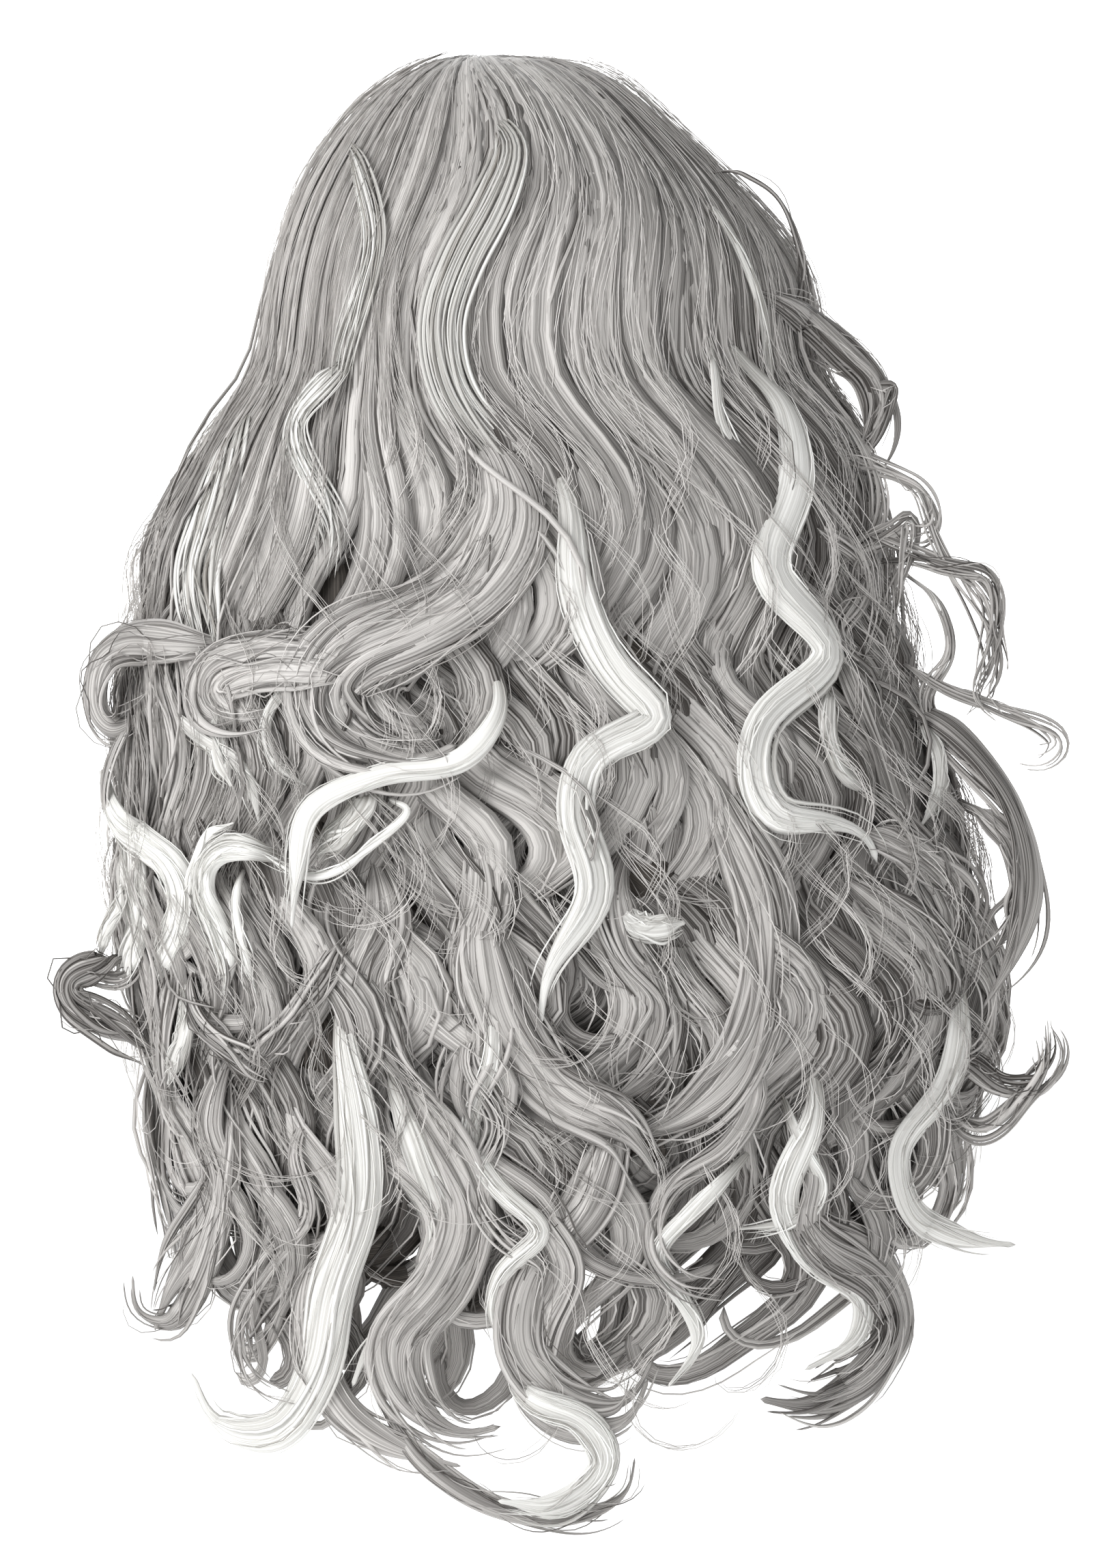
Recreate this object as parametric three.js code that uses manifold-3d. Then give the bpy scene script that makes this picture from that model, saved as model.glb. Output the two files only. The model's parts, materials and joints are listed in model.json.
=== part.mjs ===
// A long wavy costume wig in silver grey, with paler locks of glow-in-the-dark fibre.
// An open cap carries a crown of combed hair. A back fall and two side falls of wavy hair hang from
// under the crown's lower edge, and each glow lock lies in a channel pressed into the hair below it.
// Millimetres. X is to the wearer's right, Y is forwards and Z is up. The origin is the point inside
// the top of the cap where the head's crown bears.
import * as THREE from "three";
import { ParametricGeometry } from "three/addons/geometries/ParametricGeometry.js";
import { mergeVertices } from "three/addons/utils/BufferGeometryUtils.js";
import Module from "manifold-3d";

const wasm = await Module();
wasm.setup();

// The head that the cap fits, and the cap.
const HEAD_WIDTH = 152;
const HEAD_LENGTH = 194;
const CAP_DOME = 110; // height of the cap's dome above its widest level
const CAP_WALL = 2;
const CAP_NAPE = 150; // depth of the cap's edge below the crown of the head
const CAP_EAR = 125;
const CAP_FRONT = 48;

// The crown hair over the cap.
const CROWN_TOP = 13; // depth of hair at each place
const CROWN_LEFT = 24;
const CROWN_RIGHT = 29;
const CROWN_BACK = 20;
const CROWN_FRONT = 14;
const CROWN_DOME = 150; // height of the hair's dome above its widest level
const CROWN_EDGE = 6; // thickness of the crown's lower edge
const NAPE_OVERHANG = 20; // how far the crown hair reaches below the cap
const EAR_OVERHANG = 22;
const FRONT_OVERHANG = 4;
const FULLNESS_LEFT = 2; // powers of the dome's curve: 2 is an ellipse, more is squarer
const FULLNESS_RIGHT = 3;
const FULLNESS_BACK = 2.2;
const GROOVE_DEPTH = 5;
const PARTING_DEPTH = 4;
const EDGE_TUCK = 3; // how far the hair draws in at the lower edge
const SCALLOP = 9; // how far the lower edge hangs lower at a lock than at a groove
const FLARE_REACH = 52; // how far the loose hair beside the right temple stands out
const FLARE_TOP = 20; // depths at which it begins and is full
const FLARE_FULL = 120;

// The hanging hair.
const HAIR_LENGTH = 674; // from the top of the hair to the lowest tip
const HALF_SPREAD = 231; // half of the width across the shoulders
const FALL_THICKNESS = 26;
const FALL_GROOVE = 10; // depth of the groove between two hanging locks
const NOTCH = 60; // how much higher a groove ends than the tips on its two sides
const ROOT_TUCK = 60; // how far a root is tucked up under the crown's edge
const ROOT_SINK = 13; // how deep it lies there below the hair's surface
const ROOT_THICKNESS = 7;
const ROOT_RISE = 30; // the length over which it comes up to the surface below the crown's edge
const WAVE_LENGTH = 125;
const WAVE_SWING = 16; // sideways reach of a wave to each side of a lock's line
const WAVE_START = 70; // depth at which the waves begin
const WAVE_FULL = 230; // depth at which they have their full swing
const TIP_HOOK = 12; // how far a tip turns to its side
const TIP_THICKNESS = 6;
const TIP_SHARE = 0.8; // share of a hanging lock's rings above the notches
const LOCK_WIDTH = 20; // of a curl or glow lock of middling size
const CURL_SINK = 5; // how deep a curl lies in the hair below it
const GLOW_PROUD = 1.5; // how far a glow lock's middle stands above the hair's surface
const SIDE_LIMIT = 72; // degrees from straight back within which the drawn locks lie
const FACING_LIMIT = 55; // degrees from straight back that a drawn lock may face

const GAP = 0.35; // between one piece and the next
const MERGE = 1e-3;

const HAIR_TOP = CAP_WALL + CROWN_TOP;
const LEFT_REACH = HEAD_WIDTH / 2 + CAP_WALL + CROWN_LEFT;
const RIGHT_REACH = HEAD_WIDTH / 2 + CAP_WALL + CROWN_RIGHT;
const BACK_REACH = HEAD_LENGTH / 2 + CAP_WALL + CROWN_BACK;
const FRONT_REACH = HEAD_LENGTH / 2 + CAP_WALL + CROWN_FRONT;

// Sections of the hair below the crown's widest level. Columns: depth below the hair's top, as a share
// of HAIR_LENGTH; reach to the left and right, of HALF_SPREAD; reach to the back and front, of
// BACK_REACH and FRONT_REACH; and how far back the section's widest line lies, of BACK_REACH.
const SECTIONS = [
  { down: 0.265, left: 0.53, right: 0.77, back: 1.01, front: 1.0, mid: -0.07 },
  { down: 0.346, left: 0.67, right: 0.82, back: 1.04, front: 0.98, mid: -0.17 },
  { down: 0.454, left: 0.71, right: 0.89, back: 1.1, front: 0.95, mid: -0.3 },
  { down: 0.562, left: 0.72, right: 1.0, back: 1.15, front: 0.92, mid: -0.38 },
  { down: 0.669, left: 0.69, right: 1.05, back: 1.17, front: 0.9, mid: -0.42 },
  { down: 0.777, left: 0.64, right: 0.98, back: 1.14, front: 0.9, mid: -0.42 },
  { down: 0.886, left: 0.57, right: 0.84, back: 1.1, front: 0.9, mid: -0.42 },
  { down: 1.0, left: 0.5, right: 0.6, back: 1.07, front: 0.9, mid: -0.42 },
];

// The hanging locks, three in the left fall, nine in the back fall and three in the right one. Columns:
// direction from the head's middle at the root and at the tip, in degrees from straight back and
// positive to the right; depth of the tip, as a share of HAIR_LENGTH; and the side it turns to.
const HANGING_LOCKS = [
  { root: -126, tip: -146, end: 0.65, hook: 1 },
  { root: -108, tip: -112, end: 0.72, hook: 1 },
  { root: -90, tip: -88, end: 0.84, hook: -1 },
  { root: -72, tip: -68, end: 0.89, hook: -1 },
  { root: -54, tip: -52, end: 0.95, hook: -1 },
  { root: -36, tip: -35, end: 0.965, hook: 1 },
  { root: -18, tip: -18, end: 0.94, hook: -1 },
  { root: 0, tip: 0, end: 0.98, hook: 1 },
  { root: 18, tip: 16, end: 0.96, hook: -1 },
  { root: 36, tip: 32, end: 0.93, hook: 1 },
  { root: 54, tip: 49, end: 0.91, hook: -1 },
  { root: 72, tip: 66, end: 0.87, hook: 1 },
  { root: 90, tip: 85, end: 0.82, hook: 1 },
  { root: 108, tip: 106, end: 0.76, hook: 1 },
  { root: 126, tip: 144, end: 0.66, hook: -1 },
];
const LOCK_SPACING = 18;
const SIDE_LOCKS = 3;

// The grey curls that stand out of the falls. Columns: width and thickness, as shares of LOCK_WIDTH;
// and the bends, each a place across, as a share of HALF_SPREAD and positive to the right, and down, as
// a share of HAIR_LENGTH.
const CURLS = [
  { width: 0.9, thick: 0.7, bends: [[-0.38, 0.405], [-0.5, 0.402], [-0.63, 0.403],
    [-0.74, 0.414], [-0.77, 0.443], [-0.72, 0.473], [-0.65, 0.462]] },
  { width: 0.65, thick: 0.6, bends: [[-0.6, 0.621], [-0.73, 0.626], [-0.8, 0.64],
    [-0.79, 0.66], [-0.69, 0.673], [-0.62, 0.69]] },
  { width: 1.5, thick: 1, bends: [[-0.15, 0.4], [-0.32, 0.419], [-0.43, 0.431],
    [-0.51, 0.434]] },
  { width: 1.4, thick: 0.9, bends: [[0.1, 0.33], [-0.03, 0.377], [-0.19, 0.405],
    [-0.29, 0.433], [-0.27, 0.462]] },
  { width: 0.65, thick: 0.6, bends: [[-0.48, 0.72], [-0.5, 0.79], [-0.55, 0.842],
    [-0.62, 0.873], [-0.68, 0.868], [-0.69, 0.842]] },
  { width: 0.9, thick: 0.8, bends: [[0.3, 0.71], [0.22, 0.79], [0.1, 0.838],
    [0.09, 0.882], [0.18, 0.915], [0.3, 0.922], [0.35, 0.894]] },
  { width: 1.4, thick: 0.9, bends: [[0.02, 0.617], [0.06, 0.665], [0.165, 0.711],
    [0.3, 0.739], [0.38, 0.75]] },
  { width: 1.1, thick: 0.9, bends: [[0.49, 0.523], [0.56, 0.579], [0.57, 0.635],
    [0.52, 0.692], [0.4, 0.73]] },
  { width: 0.85, thick: 0.75, bends: [[0.68, 0.8], [0.79, 0.842], [0.83, 0.882],
    [0.77, 0.915], [0.66, 0.932], [0.56, 0.935]] },
  { width: 0.6, thick: 0.55, bends: [[0.7, 0.33], [0.88, 0.335], [1.0, 0.355],
    [1.04, 0.395], [1.0, 0.438], [0.93, 0.466]] },
  { width: 0.7, thick: 0.6, bends: [[0.8, 0.44], [0.93, 0.46], [1.04, 0.505],
    [1.09, 0.579], [1.06, 0.63], [0.93, 0.69], [0.85, 0.71]] },
];

// The glow locks, with the same columns. The first two lie on the crown.
const GLOW_LOCKS = [
  { width: 0.65, thick: 0.35, bends: [[-0.01, 0.015], [0.03, 0.045], [0.07, 0.075], [0.04, 0.104],
    [-0.03, 0.15], [-0.07, 0.19], [-0.05, 0.236], [0.04, 0.278], [0.158, 0.316], [0.2, 0.36]] },
  { width: 0.45, thick: 0.3, bends: [[-0.25, 0.07], [-0.233, 0.09], [-0.203, 0.137], [-0.226, 0.17]] },
  { width: 0.45, thick: 0.35, bends: [[-0.25, 0.205], [-0.29, 0.229], [-0.361, 0.266], [-0.327, 0.301],
    [-0.288, 0.332]] },
  { width: 0.6, thick: 0.4, bends: [[-0.48, 0.275], [-0.524, 0.316], [-0.55, 0.36], [-0.53, 0.392]] },
  { width: 0.7, thick: 0.4, bends: [[0.26, 0.325], [0.23, 0.37], [0.281, 0.431], [0.35, 0.46],
    [0.22, 0.485], [0.189, 0.52], [0.231, 0.574], [0.15, 0.625]] },
  { width: 0.85, thick: 0.45, bends: [[0.5, 0.215], [0.618, 0.257], [0.635, 0.297], [0.579, 0.36],
    [0.7, 0.421], [0.57, 0.466], [0.557, 0.505], [0.61, 0.532], [0.76, 0.549]] },
  { width: 0.5, thick: 0.4, bends: [[0.02, 0.425], [0.04, 0.456], [-0.014, 0.482], [-0.192, 0.498],
    [-0.329, 0.523], [-0.354, 0.563], [-0.365, 0.602]] },
  { width: 0.7, thick: 0.4, bends: [[-0.42, 0.548], [-0.48, 0.545], [-0.545, 0.567], [-0.497, 0.612],
    [-0.504, 0.653]] },
  { width: 0.5, thick: 0.4, bends: [[-0.69, 0.485], [-0.67, 0.52], [-0.6, 0.557], [-0.585, 0.593],
    [-0.64, 0.64]] },
  { width: 0.75, thick: 0.45, bends: [[-0.254, 0.626], [-0.263, 0.659], [-0.239, 0.725],
    [-0.231, 0.786], [-0.288, 0.847], [-0.316, 0.903], [-0.4, 0.94], [-0.51, 0.937], [-0.57, 0.905]] },
  { width: 0.4, thick: 0.35, bends: [[0.02, 0.63], [0.034, 0.687], [-0.016, 0.744], [0.04, 0.779],
    [0.06, 0.82]] },
  { width: 0.7, thick: 0.45, bends: [[0.93, 0.63], [0.95, 0.664], [0.92, 0.706], [0.837, 0.758],
    [0.85, 0.795], [0.93, 0.816], [1.02, 0.822]] },
  { width: 0.55, thick: 0.4, bends: [[0.0, 0.9], [0.08, 0.935], [0.2, 0.945], [0.24, 0.966],
    [0.165, 0.992], [0.05, 0.988]] },
  { width: 0.65, thick: 0.4, bends: [[0.64, 0.7], [0.65, 0.73], [0.62, 0.785], [0.62, 0.83],
    [0.7, 0.87], [0.66, 0.9]] },
  { width: 0.4, thick: 0.35, bends: [[0.53, 0.76], [0.439, 0.788], [0.37, 0.815], [0.41, 0.845],
    [0.44, 0.875]] },
];

// How many flats go round each kind of surface, and how many rings along it.
const LOCK_SIDES = 6;
const FALL_RINGS = 20;
const RINGS_PER_BEND = 1.7;
const CROWN_SIDES = (360 / LOCK_SPACING) * 3;
const CROWN_RINGS = 8;
const CAP_SIDES = 30;
const CAP_RINGS = 5;

const radians = THREE.MathUtils.degToRad;
const { lerp, smoothstep, clamp } = THREE.MathUtils;

// A closed solid from a surface whose first and last rings are each drawn in to one point.
function closedSolid(pointAt, around, rings) {
  const surface = new ParametricGeometry(
    (u, v, target) => target.copy(pointAt(u, Math.round(v * rings))),
    around,
    rings,
  );
  surface.deleteAttribute("normal");
  surface.deleteAttribute("uv");
  const merged = mergeVertices(surface, MERGE);
  const corners = merged.index.array;
  const faces = [];
  for (let i = 0; i < corners.length; i += 3) {
    const [a, b, c] = corners.slice(i, i + 3);
    if (a !== b && b !== c && c !== a) faces.push(a, c, b);
  }
  return new wasm.Manifold(
    new wasm.Mesh({
      numProp: 3,
      vertProperties: merged.attributes.position.array,
      triVerts: Uint32Array.from(faces),
    }),
  );
}

function meshOf(name, solid, material) {
  const { vertProperties, triVerts } = solid.getMesh();
  const geometry = new THREE.BufferGeometry();
  geometry.setAttribute("position", new THREE.BufferAttribute(vertProperties, 3));
  geometry.setIndex(new THREE.BufferAttribute(triVerts, 1));
  geometry.computeVertexNormals();
  const mesh = new THREE.Mesh(geometry, material);
  mesh.name = name;
  return mesh;
}

// The value of an edge that is at one depth at the nape, another at the ears and a third in front.
function edgeDepth(azimuth, nape, ear, front) {
  const turn = Math.abs(azimuth) / 90;
  return turn < 1
    ? lerp(nape, ear, smoothstep(turn, 0, 1))
    : lerp(ear, front, smoothstep(turn, 1, 2));
}

// The depth of the crown hair's lower edge, which hangs a little below the cap's own.
function crownEdge(azimuth) {
  return edgeDepth(
    azimuth,
    CAP_NAPE + NAPE_OVERHANG,
    CAP_EAR + EAR_OVERHANG,
    CAP_FRONT + FRONT_OVERHANG,
  );
}

// A point of an ellipsoid that stands off the head by some distance, at an azimuth from straight back.
function headPoint(azimuth, share, edge, standOff) {
  const dome = CAP_DOME + standOff;
  const polar = share * Math.acos(1 - (edge + standOff) / dome);
  const side = radians(azimuth);
  return new THREE.Vector3(
    (HEAD_WIDTH / 2 + standOff) * Math.sin(polar) * Math.sin(side),
    -(HEAD_LENGTH / 2 + standOff) * Math.sin(polar) * Math.cos(side),
    standOff - dome * (1 - Math.cos(polar)),
  );
}

// The share of its full reach that a dome of hair has at some depth below its top.
function domeShare(down, fullness) {
  const rise = Math.abs(1 - clamp(down / CROWN_DOME, 0, 1));
  return Math.pow(1 - Math.pow(rise, fullness), 1 / fullness);
}

// The hair's section at some depth: its reach to each side, from the line on which it is widest.
function sectionAt(down) {
  const widest = {
    down: CROWN_DOME,
    left: LEFT_REACH * domeShare(down, FULLNESS_LEFT),
    right:
      RIGHT_REACH * domeShare(down, FULLNESS_RIGHT) +
      FLARE_REACH * smoothstep(down, FLARE_TOP, FLARE_FULL),
    back: BACK_REACH * domeShare(down, FULLNESS_BACK),
    front: FRONT_REACH * domeShare(down, FULLNESS_BACK),
    mid: 0,
  };
  if (down <= CROWN_DOME) return widest;
  const rows = [widest].concat(
    SECTIONS.map((row) => ({
      down: row.down * HAIR_LENGTH,
      left: row.left * HALF_SPREAD,
      right: row.right * HALF_SPREAD,
      back: row.back * BACK_REACH,
      front: row.front * FRONT_REACH,
      mid: row.mid * BACK_REACH,
    })).filter((row) => row.down > CROWN_DOME),
  );
  let lower = rows.findIndex((row) => row.down > down);
  if (lower < 0) lower = rows.length - 1;
  const [a, b] = [rows[lower - 1], rows[lower]];
  const share = clamp((down - a.down) / (b.down - a.down), 0, 1);
  const mixed = {};
  for (const column of Object.keys(a)) mixed[column] = lerp(a[column], b[column], share);
  return mixed;
}

// The hair's surface at an azimuth and depth, with the way that faces out of it there.
function surfaceAt(azimuth, down) {
  const section = sectionAt(down);
  const side = radians(azimuth);
  const across = azimuth < 0 ? section.left : section.right;
  const behind = section.mid + section.back;
  const ahead = section.front - section.mid;
  const depth = Math.cos(side) > 0 ? behind : ahead;
  return {
    point: new THREE.Vector3(
      across * Math.sin(side),
      section.mid - depth * Math.cos(side),
      HAIR_TOP - down,
    ),
    outward: new THREE.Vector3(depth * Math.sin(side), -across * Math.cos(side), 0).normalize(),
    section,
  };
}

// The same from a place across and down, as seen from behind. Towards the outline and past it, the
// place stays a little behind the widest line, so that a lock drawn there doesn't turn edge on.
function backSurfaceAt(across, down) {
  const section = sectionAt(down);
  const reach = Math.max(across < 0 ? section.left : section.right, 1);
  const azimuth = THREE.MathUtils.radToDeg(Math.asin(clamp(across / reach, -1, 1)));
  const { point } = surfaceAt(clamp(azimuth, -SIDE_LIMIT, SIDE_LIMIT), down);
  const { outward } = surfaceAt(clamp(azimuth, -FACING_LIMIT, FACING_LIMIT), down);
  point.x = across;
  return { point, outward };
}

function waveAt(azimuth, down) {
  const growth = smoothstep(down, WAVE_START, WAVE_FULL);
  const phase = radians(azimuth * 1.5);
  return WAVE_SWING * growth * Math.sin((2 * Math.PI * (down - WAVE_START)) / WAVE_LENGTH + phase);
}

// The cap: an open dome that covers the head from the hairline to the nape.
function capSolid(grow) {
  const rings = 2 * CAP_RINGS + 1;
  return closedSolid(
    (u, ring) => {
      const azimuth = u * 360 - 180;
      const edge = edgeDepth(azimuth, CAP_NAPE, CAP_EAR, CAP_FRONT) + grow;
      return ring <= CAP_RINGS
        ? headPoint(azimuth, ring / CAP_RINGS, edge, CAP_WALL + grow)
        : headPoint(azimuth, (rings - ring) / CAP_RINGS, edge, -grow);
    },
    CAP_SIDES,
    rings,
  );
}

// From 0 on the flat of a lock to -1 in the groove beside it.
function grooveAt(azimuth) {
  return Math.abs(Math.cos(radians((azimuth * 180) / LOCK_SPACING))) < 0.1 ? -1 : 0;
}

// How deep a place on the crown lies, at a share of the way from its top down to its edge.
function crownDown(share, edge) {
  const domed = Math.min(edge, CROWN_DOME);
  const arc = LEFT_REACH * Math.acos(1 - domed / CROWN_DOME);
  const way = share * (arc + edge - domed);
  return way < arc ? CROWN_DOME * (1 - Math.cos(way / LEFT_REACH)) : domed + way - arc;
}

// The crown hair: a thick shell over the cap, combed from the parting into waved locks. Towards the
// back and sides its lower edge thins, and leaves a pocket for the roots of the falls.
function crownSolid(grow) {
  const rings = CROWN_RINGS + CAP_RINGS + 2;
  const outerPoint = (azimuth, share, edge) => {
    const down = crownDown(share, edge);
    const rib = grooveAt(azimuth);
    const parting = Math.abs(Math.abs(azimuth) - 180) < 4 ? PARTING_DEPTH * smoothstep(share, 0, 0.3) : 0;
    const depth = down + (share < 1 ? 0 : grow + SCALLOP * (rib + 0.5));
    const sway = THREE.MathUtils.radToDeg(waveAt(azimuth, down) / LEFT_REACH);
    const { point, outward } = surfaceAt(azimuth + sway, depth);
    const tuck = EDGE_TUCK * smoothstep(share, 0.8, 1);
    const relief = GROOVE_DEPTH * rib * smoothstep(share, 0, 0.4) - parting - tuck;
    return point.addScaledVector(outward, relief + grow);
  };
  return closedSolid(
    (u, ring) => {
      const azimuth = ((u * 360 + LOCK_SPACING / 6) % 360) - 180;
      const edge = HAIR_TOP + crownEdge(azimuth);
      if (ring === 0) return new THREE.Vector3(0, 0, HAIR_TOP + grow);
      if (ring <= CROWN_RINGS) return outerPoint(azimuth, ring / CROWN_RINGS, edge);
      const openness = 1 - smoothstep(Math.abs(azimuth), 120, 160);
      const share = Math.min((rings - ring) / CAP_RINGS, 1);
      const capEdge = edgeDepth(azimuth, CAP_NAPE, CAP_EAR, CAP_FRONT) + GAP;
      const overCap = headPoint(azimuth, share, capEdge, CAP_WALL + 1.5 * GAP - grow);
      const level = ring === CROWN_RINGS + 1 ? edge + grow : HAIR_TOP - overCap.z;
      const { point, outward } = surfaceAt(azimuth, level);
      point.addScaledVector(outward, -GROOVE_DEPTH - CROWN_EDGE - grow);
      if (ring > CROWN_RINGS + 1) return overCap.lerp(point, openness * smoothstep(share, 0.5, 0.8));
      return point;
    },
    CROWN_SIDES,
    rings,
  );
}

// A lock as a flattened tube. Each station has a point, the way out of the hair there, and a size.
function lockSolid(stations, grow) {
  const points = stations.map((station) => station.point);
  const last = stations.length - 1;
  return closedSolid(
    (u, ring) => {
      if (ring === 0) return points[0];
      if (ring === last) return points[last];
      const { point, outward, width, thick } = stations[ring];
      const along = new THREE.Vector3().subVectors(points[ring + 1], points[ring - 1]).normalize();
      const across = new THREE.Vector3().crossVectors(along, outward).normalize();
      const out = new THREE.Vector3().crossVectors(across, along);
      const turn = 2 * Math.PI * u;
      return point
        .clone()
        .addScaledVector(across, Math.cos(turn) * (width / 2 + grow))
        .addScaledVector(out, Math.sin(turn) * (thick / 2 + grow));
    },
    LOCK_SIDES,
    last,
  );
}

// The lines that run down the falls: the two edges of each hanging lock's flat, and the grooves between.
function fallLines() {
  const lines = [];
  const end = HANGING_LOCKS.length - 1;
  for (let i = 0; i <= end + 1; i += 1) {
    const left = HANGING_LOCKS[Math.max(i - 1, 0)];
    const right = HANGING_LOCKS[Math.min(i, end)];
    const outside = i === 0 ? -1 : i > end ? 1 : 0;
    lines.push({
      root: (left.root + right.root) / 2 + (outside * LOCK_SPACING) / 2,
      tip: (left.tip + right.tip) / 2 + (outside * LOCK_SPACING) / 2,
      end: ((left.end + right.end) / 2) * HAIR_LENGTH - NOTCH,
      groove: 1,
      hook: 0,
    });
    if (i > end) break;
    for (const side of [-1, 1]) {
      lines.push({
        root: right.root + (side * LOCK_SPACING) / 6,
        tip: right.tip + (side * LOCK_SPACING) / 9,
        end: right.end * HAIR_LENGTH,
        groove: 0,
        hook: right.hook,
      });
    }
  }
  return lines;
}

// A point on one of those lines, at a share of its length, on the outer or the inner face of the fall.
function fallPoint({ root, tip, end, groove, hook }, share, inner, shift) {
  const edge = HAIR_TOP + crownEdge(root);
  const notch = end - (groove ? NOTCH / 6 : NOTCH * 7 / 6);
  const down =
    share < TIP_SHARE
      ? lerp(edge - ROOT_TUCK, notch, share / TIP_SHARE)
      : lerp(notch, end, (share - TIP_SHARE) / (1 - TIP_SHARE));
  const azimuth = lerp(root, tip, share);
  const { point, outward } = surfaceAt(azimuth, down);
  const sideways = new THREE.Vector3(-outward.y, outward.x, 0);
  const covered = 1 - smoothstep(down, edge + SCALLOP, edge + SCALLOP + ROOT_RISE);
  const tipped = smoothstep(share, TIP_SHARE, 1);
  const outerDepth = lerp(FALL_GROOVE * groove, ROOT_SINK, covered);
  const thickness = lerp(FALL_THICKNESS - FALL_GROOVE * groove, ROOT_THICKNESS, covered);
  const across = share === 0 || share === 1 ? 0.5 : inner;
  return point
    .addScaledVector(outward, -outerDepth - across * lerp(thickness, TIP_THICKNESS, tipped))
    .addScaledVector(sideways, waveAt(azimuth, down) + hook * TIP_HOOK * tipped + shift);
}

// One fall as a ribbed sheet that is closed at its root, at its tips and along both sides.
function fallSolid(firstLock, lockCount) {
  const lines = fallLines().slice(firstLock * 3, (firstLock + lockCount) * 3 + 1);
  const last = lines.length - 1;
  return closedSolid(
    (u, ring) => {
      const place = Math.round(u * 2 * lines.length) % (2 * lines.length);
      const inner = place > last ? 1 : 0;
      const line = inner ? 2 * last + 1 - place : place;
      const shift = line === 0 ? GAP : line === last ? -GAP : 0;
      return fallPoint(lines[line], ring / FALL_RINGS, inner, shift);
    },
    2 * lines.length,
    FALL_RINGS,
  );
}

// The stations of a lock that is drawn by its bends. It is slim at the root and drawn out at the tip.
function bendStations({ width, thick, bends }, lift) {
  const curve = new THREE.CatmullRomCurve3(
    bends.map(([across, down]) => new THREE.Vector3(across * HALF_SPREAD, 0, down * HAIR_LENGTH)),
    false,
    "centripetal",
  );
  const rings = Math.round(bends.length * RINGS_PER_BEND);
  return curve.getSpacedPoints(rings).map((flat, ring) => {
    const { point, outward } = backSurfaceAt(flat.x, flat.z);
    const share = ring / rings;
    const swell = lerp(0.6, 1, smoothstep(share, 0, 0.2)) * lerp(1, 0.4, smoothstep(share, 0.6, 1));
    point.addScaledVector(outward, lift);
    return {
      point,
      outward,
      width: LOCK_WIDTH * width * swell,
      thick: LOCK_WIDTH * thick * lerp(0.7, 1, swell),
    };
  });
}

function joined(solids) {
  return solids.reduce((whole, solid) => whole.add(solid));
}

function drawnLocks(rows, lift, grow) {
  return joined(rows.map((row) => lockSolid(bendStations(row, lift), grow)));
}

const capNet = new THREE.MeshStandardMaterial({ color: "#8f8a86", roughness: 0.85 });
const greyFibre = new THREE.MeshStandardMaterial({ color: "#b7b1aa", roughness: 0.45 });
const glowFibre = new THREE.MeshStandardMaterial({ color: "#e6eae0", roughness: 0.4 });

const channels = drawnLocks(GLOW_LOCKS, GLOW_PROUD, GAP);
const capRoom = capSolid(GAP);
const fallRoom = channels.add(capRoom).add(crownSolid(2 * GAP));
const sideRoom = fallRoom.add(drawnLocks(CURLS, -CURL_SINK, GAP));
const backLocks = HANGING_LOCKS.length - 2 * SIDE_LOCKS;
const back = fallSolid(SIDE_LOCKS, backLocks).add(drawnLocks(CURLS, -CURL_SINK, 0));
const left = fallSolid(0, SIDE_LOCKS);
const right = fallSolid(SIDE_LOCKS + backLocks, SIDE_LOCKS);

const wig = new THREE.Group();
wig.name = "wig";
wig.add(meshOf("cap", capSolid(0), capNet));
wig.add(meshOf("crown_hair", crownSolid(0).subtract(channels), greyFibre));
wig.add(meshOf("back_fall", back.subtract(fallRoom), greyFibre));
wig.add(meshOf("left_fall", left.subtract(sideRoom), greyFibre));
wig.add(meshOf("right_fall", right.subtract(sideRoom), greyFibre));
GLOW_LOCKS.forEach((lock, index) => {
  const number = String(index + 1).padStart(2, "0");
  wig.add(meshOf(`glow_lock_${number}`, drawnLocks([lock], GLOW_PROUD, 0), glowFibre));
});

export default wig;
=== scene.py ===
"""Dress the long wavy wig: combed silver-grey fibre over a cap, falls of curls, and paler glow locks.

Every lock of hair is a flattened tube swept along a path that lies on the wig's draped form. The form,
the paths and the tubes are worked out as whole arrays. Sizes are millimetres until a mesh is made.
X is to the wearer's right, Y is forwards and Z is up, and the origin is inside the top of the cap.
"""

from __future__ import annotations

import json
import logging
import math
from dataclasses import dataclass, field
from enum import Enum
from typing import Iterable, Optional

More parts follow.
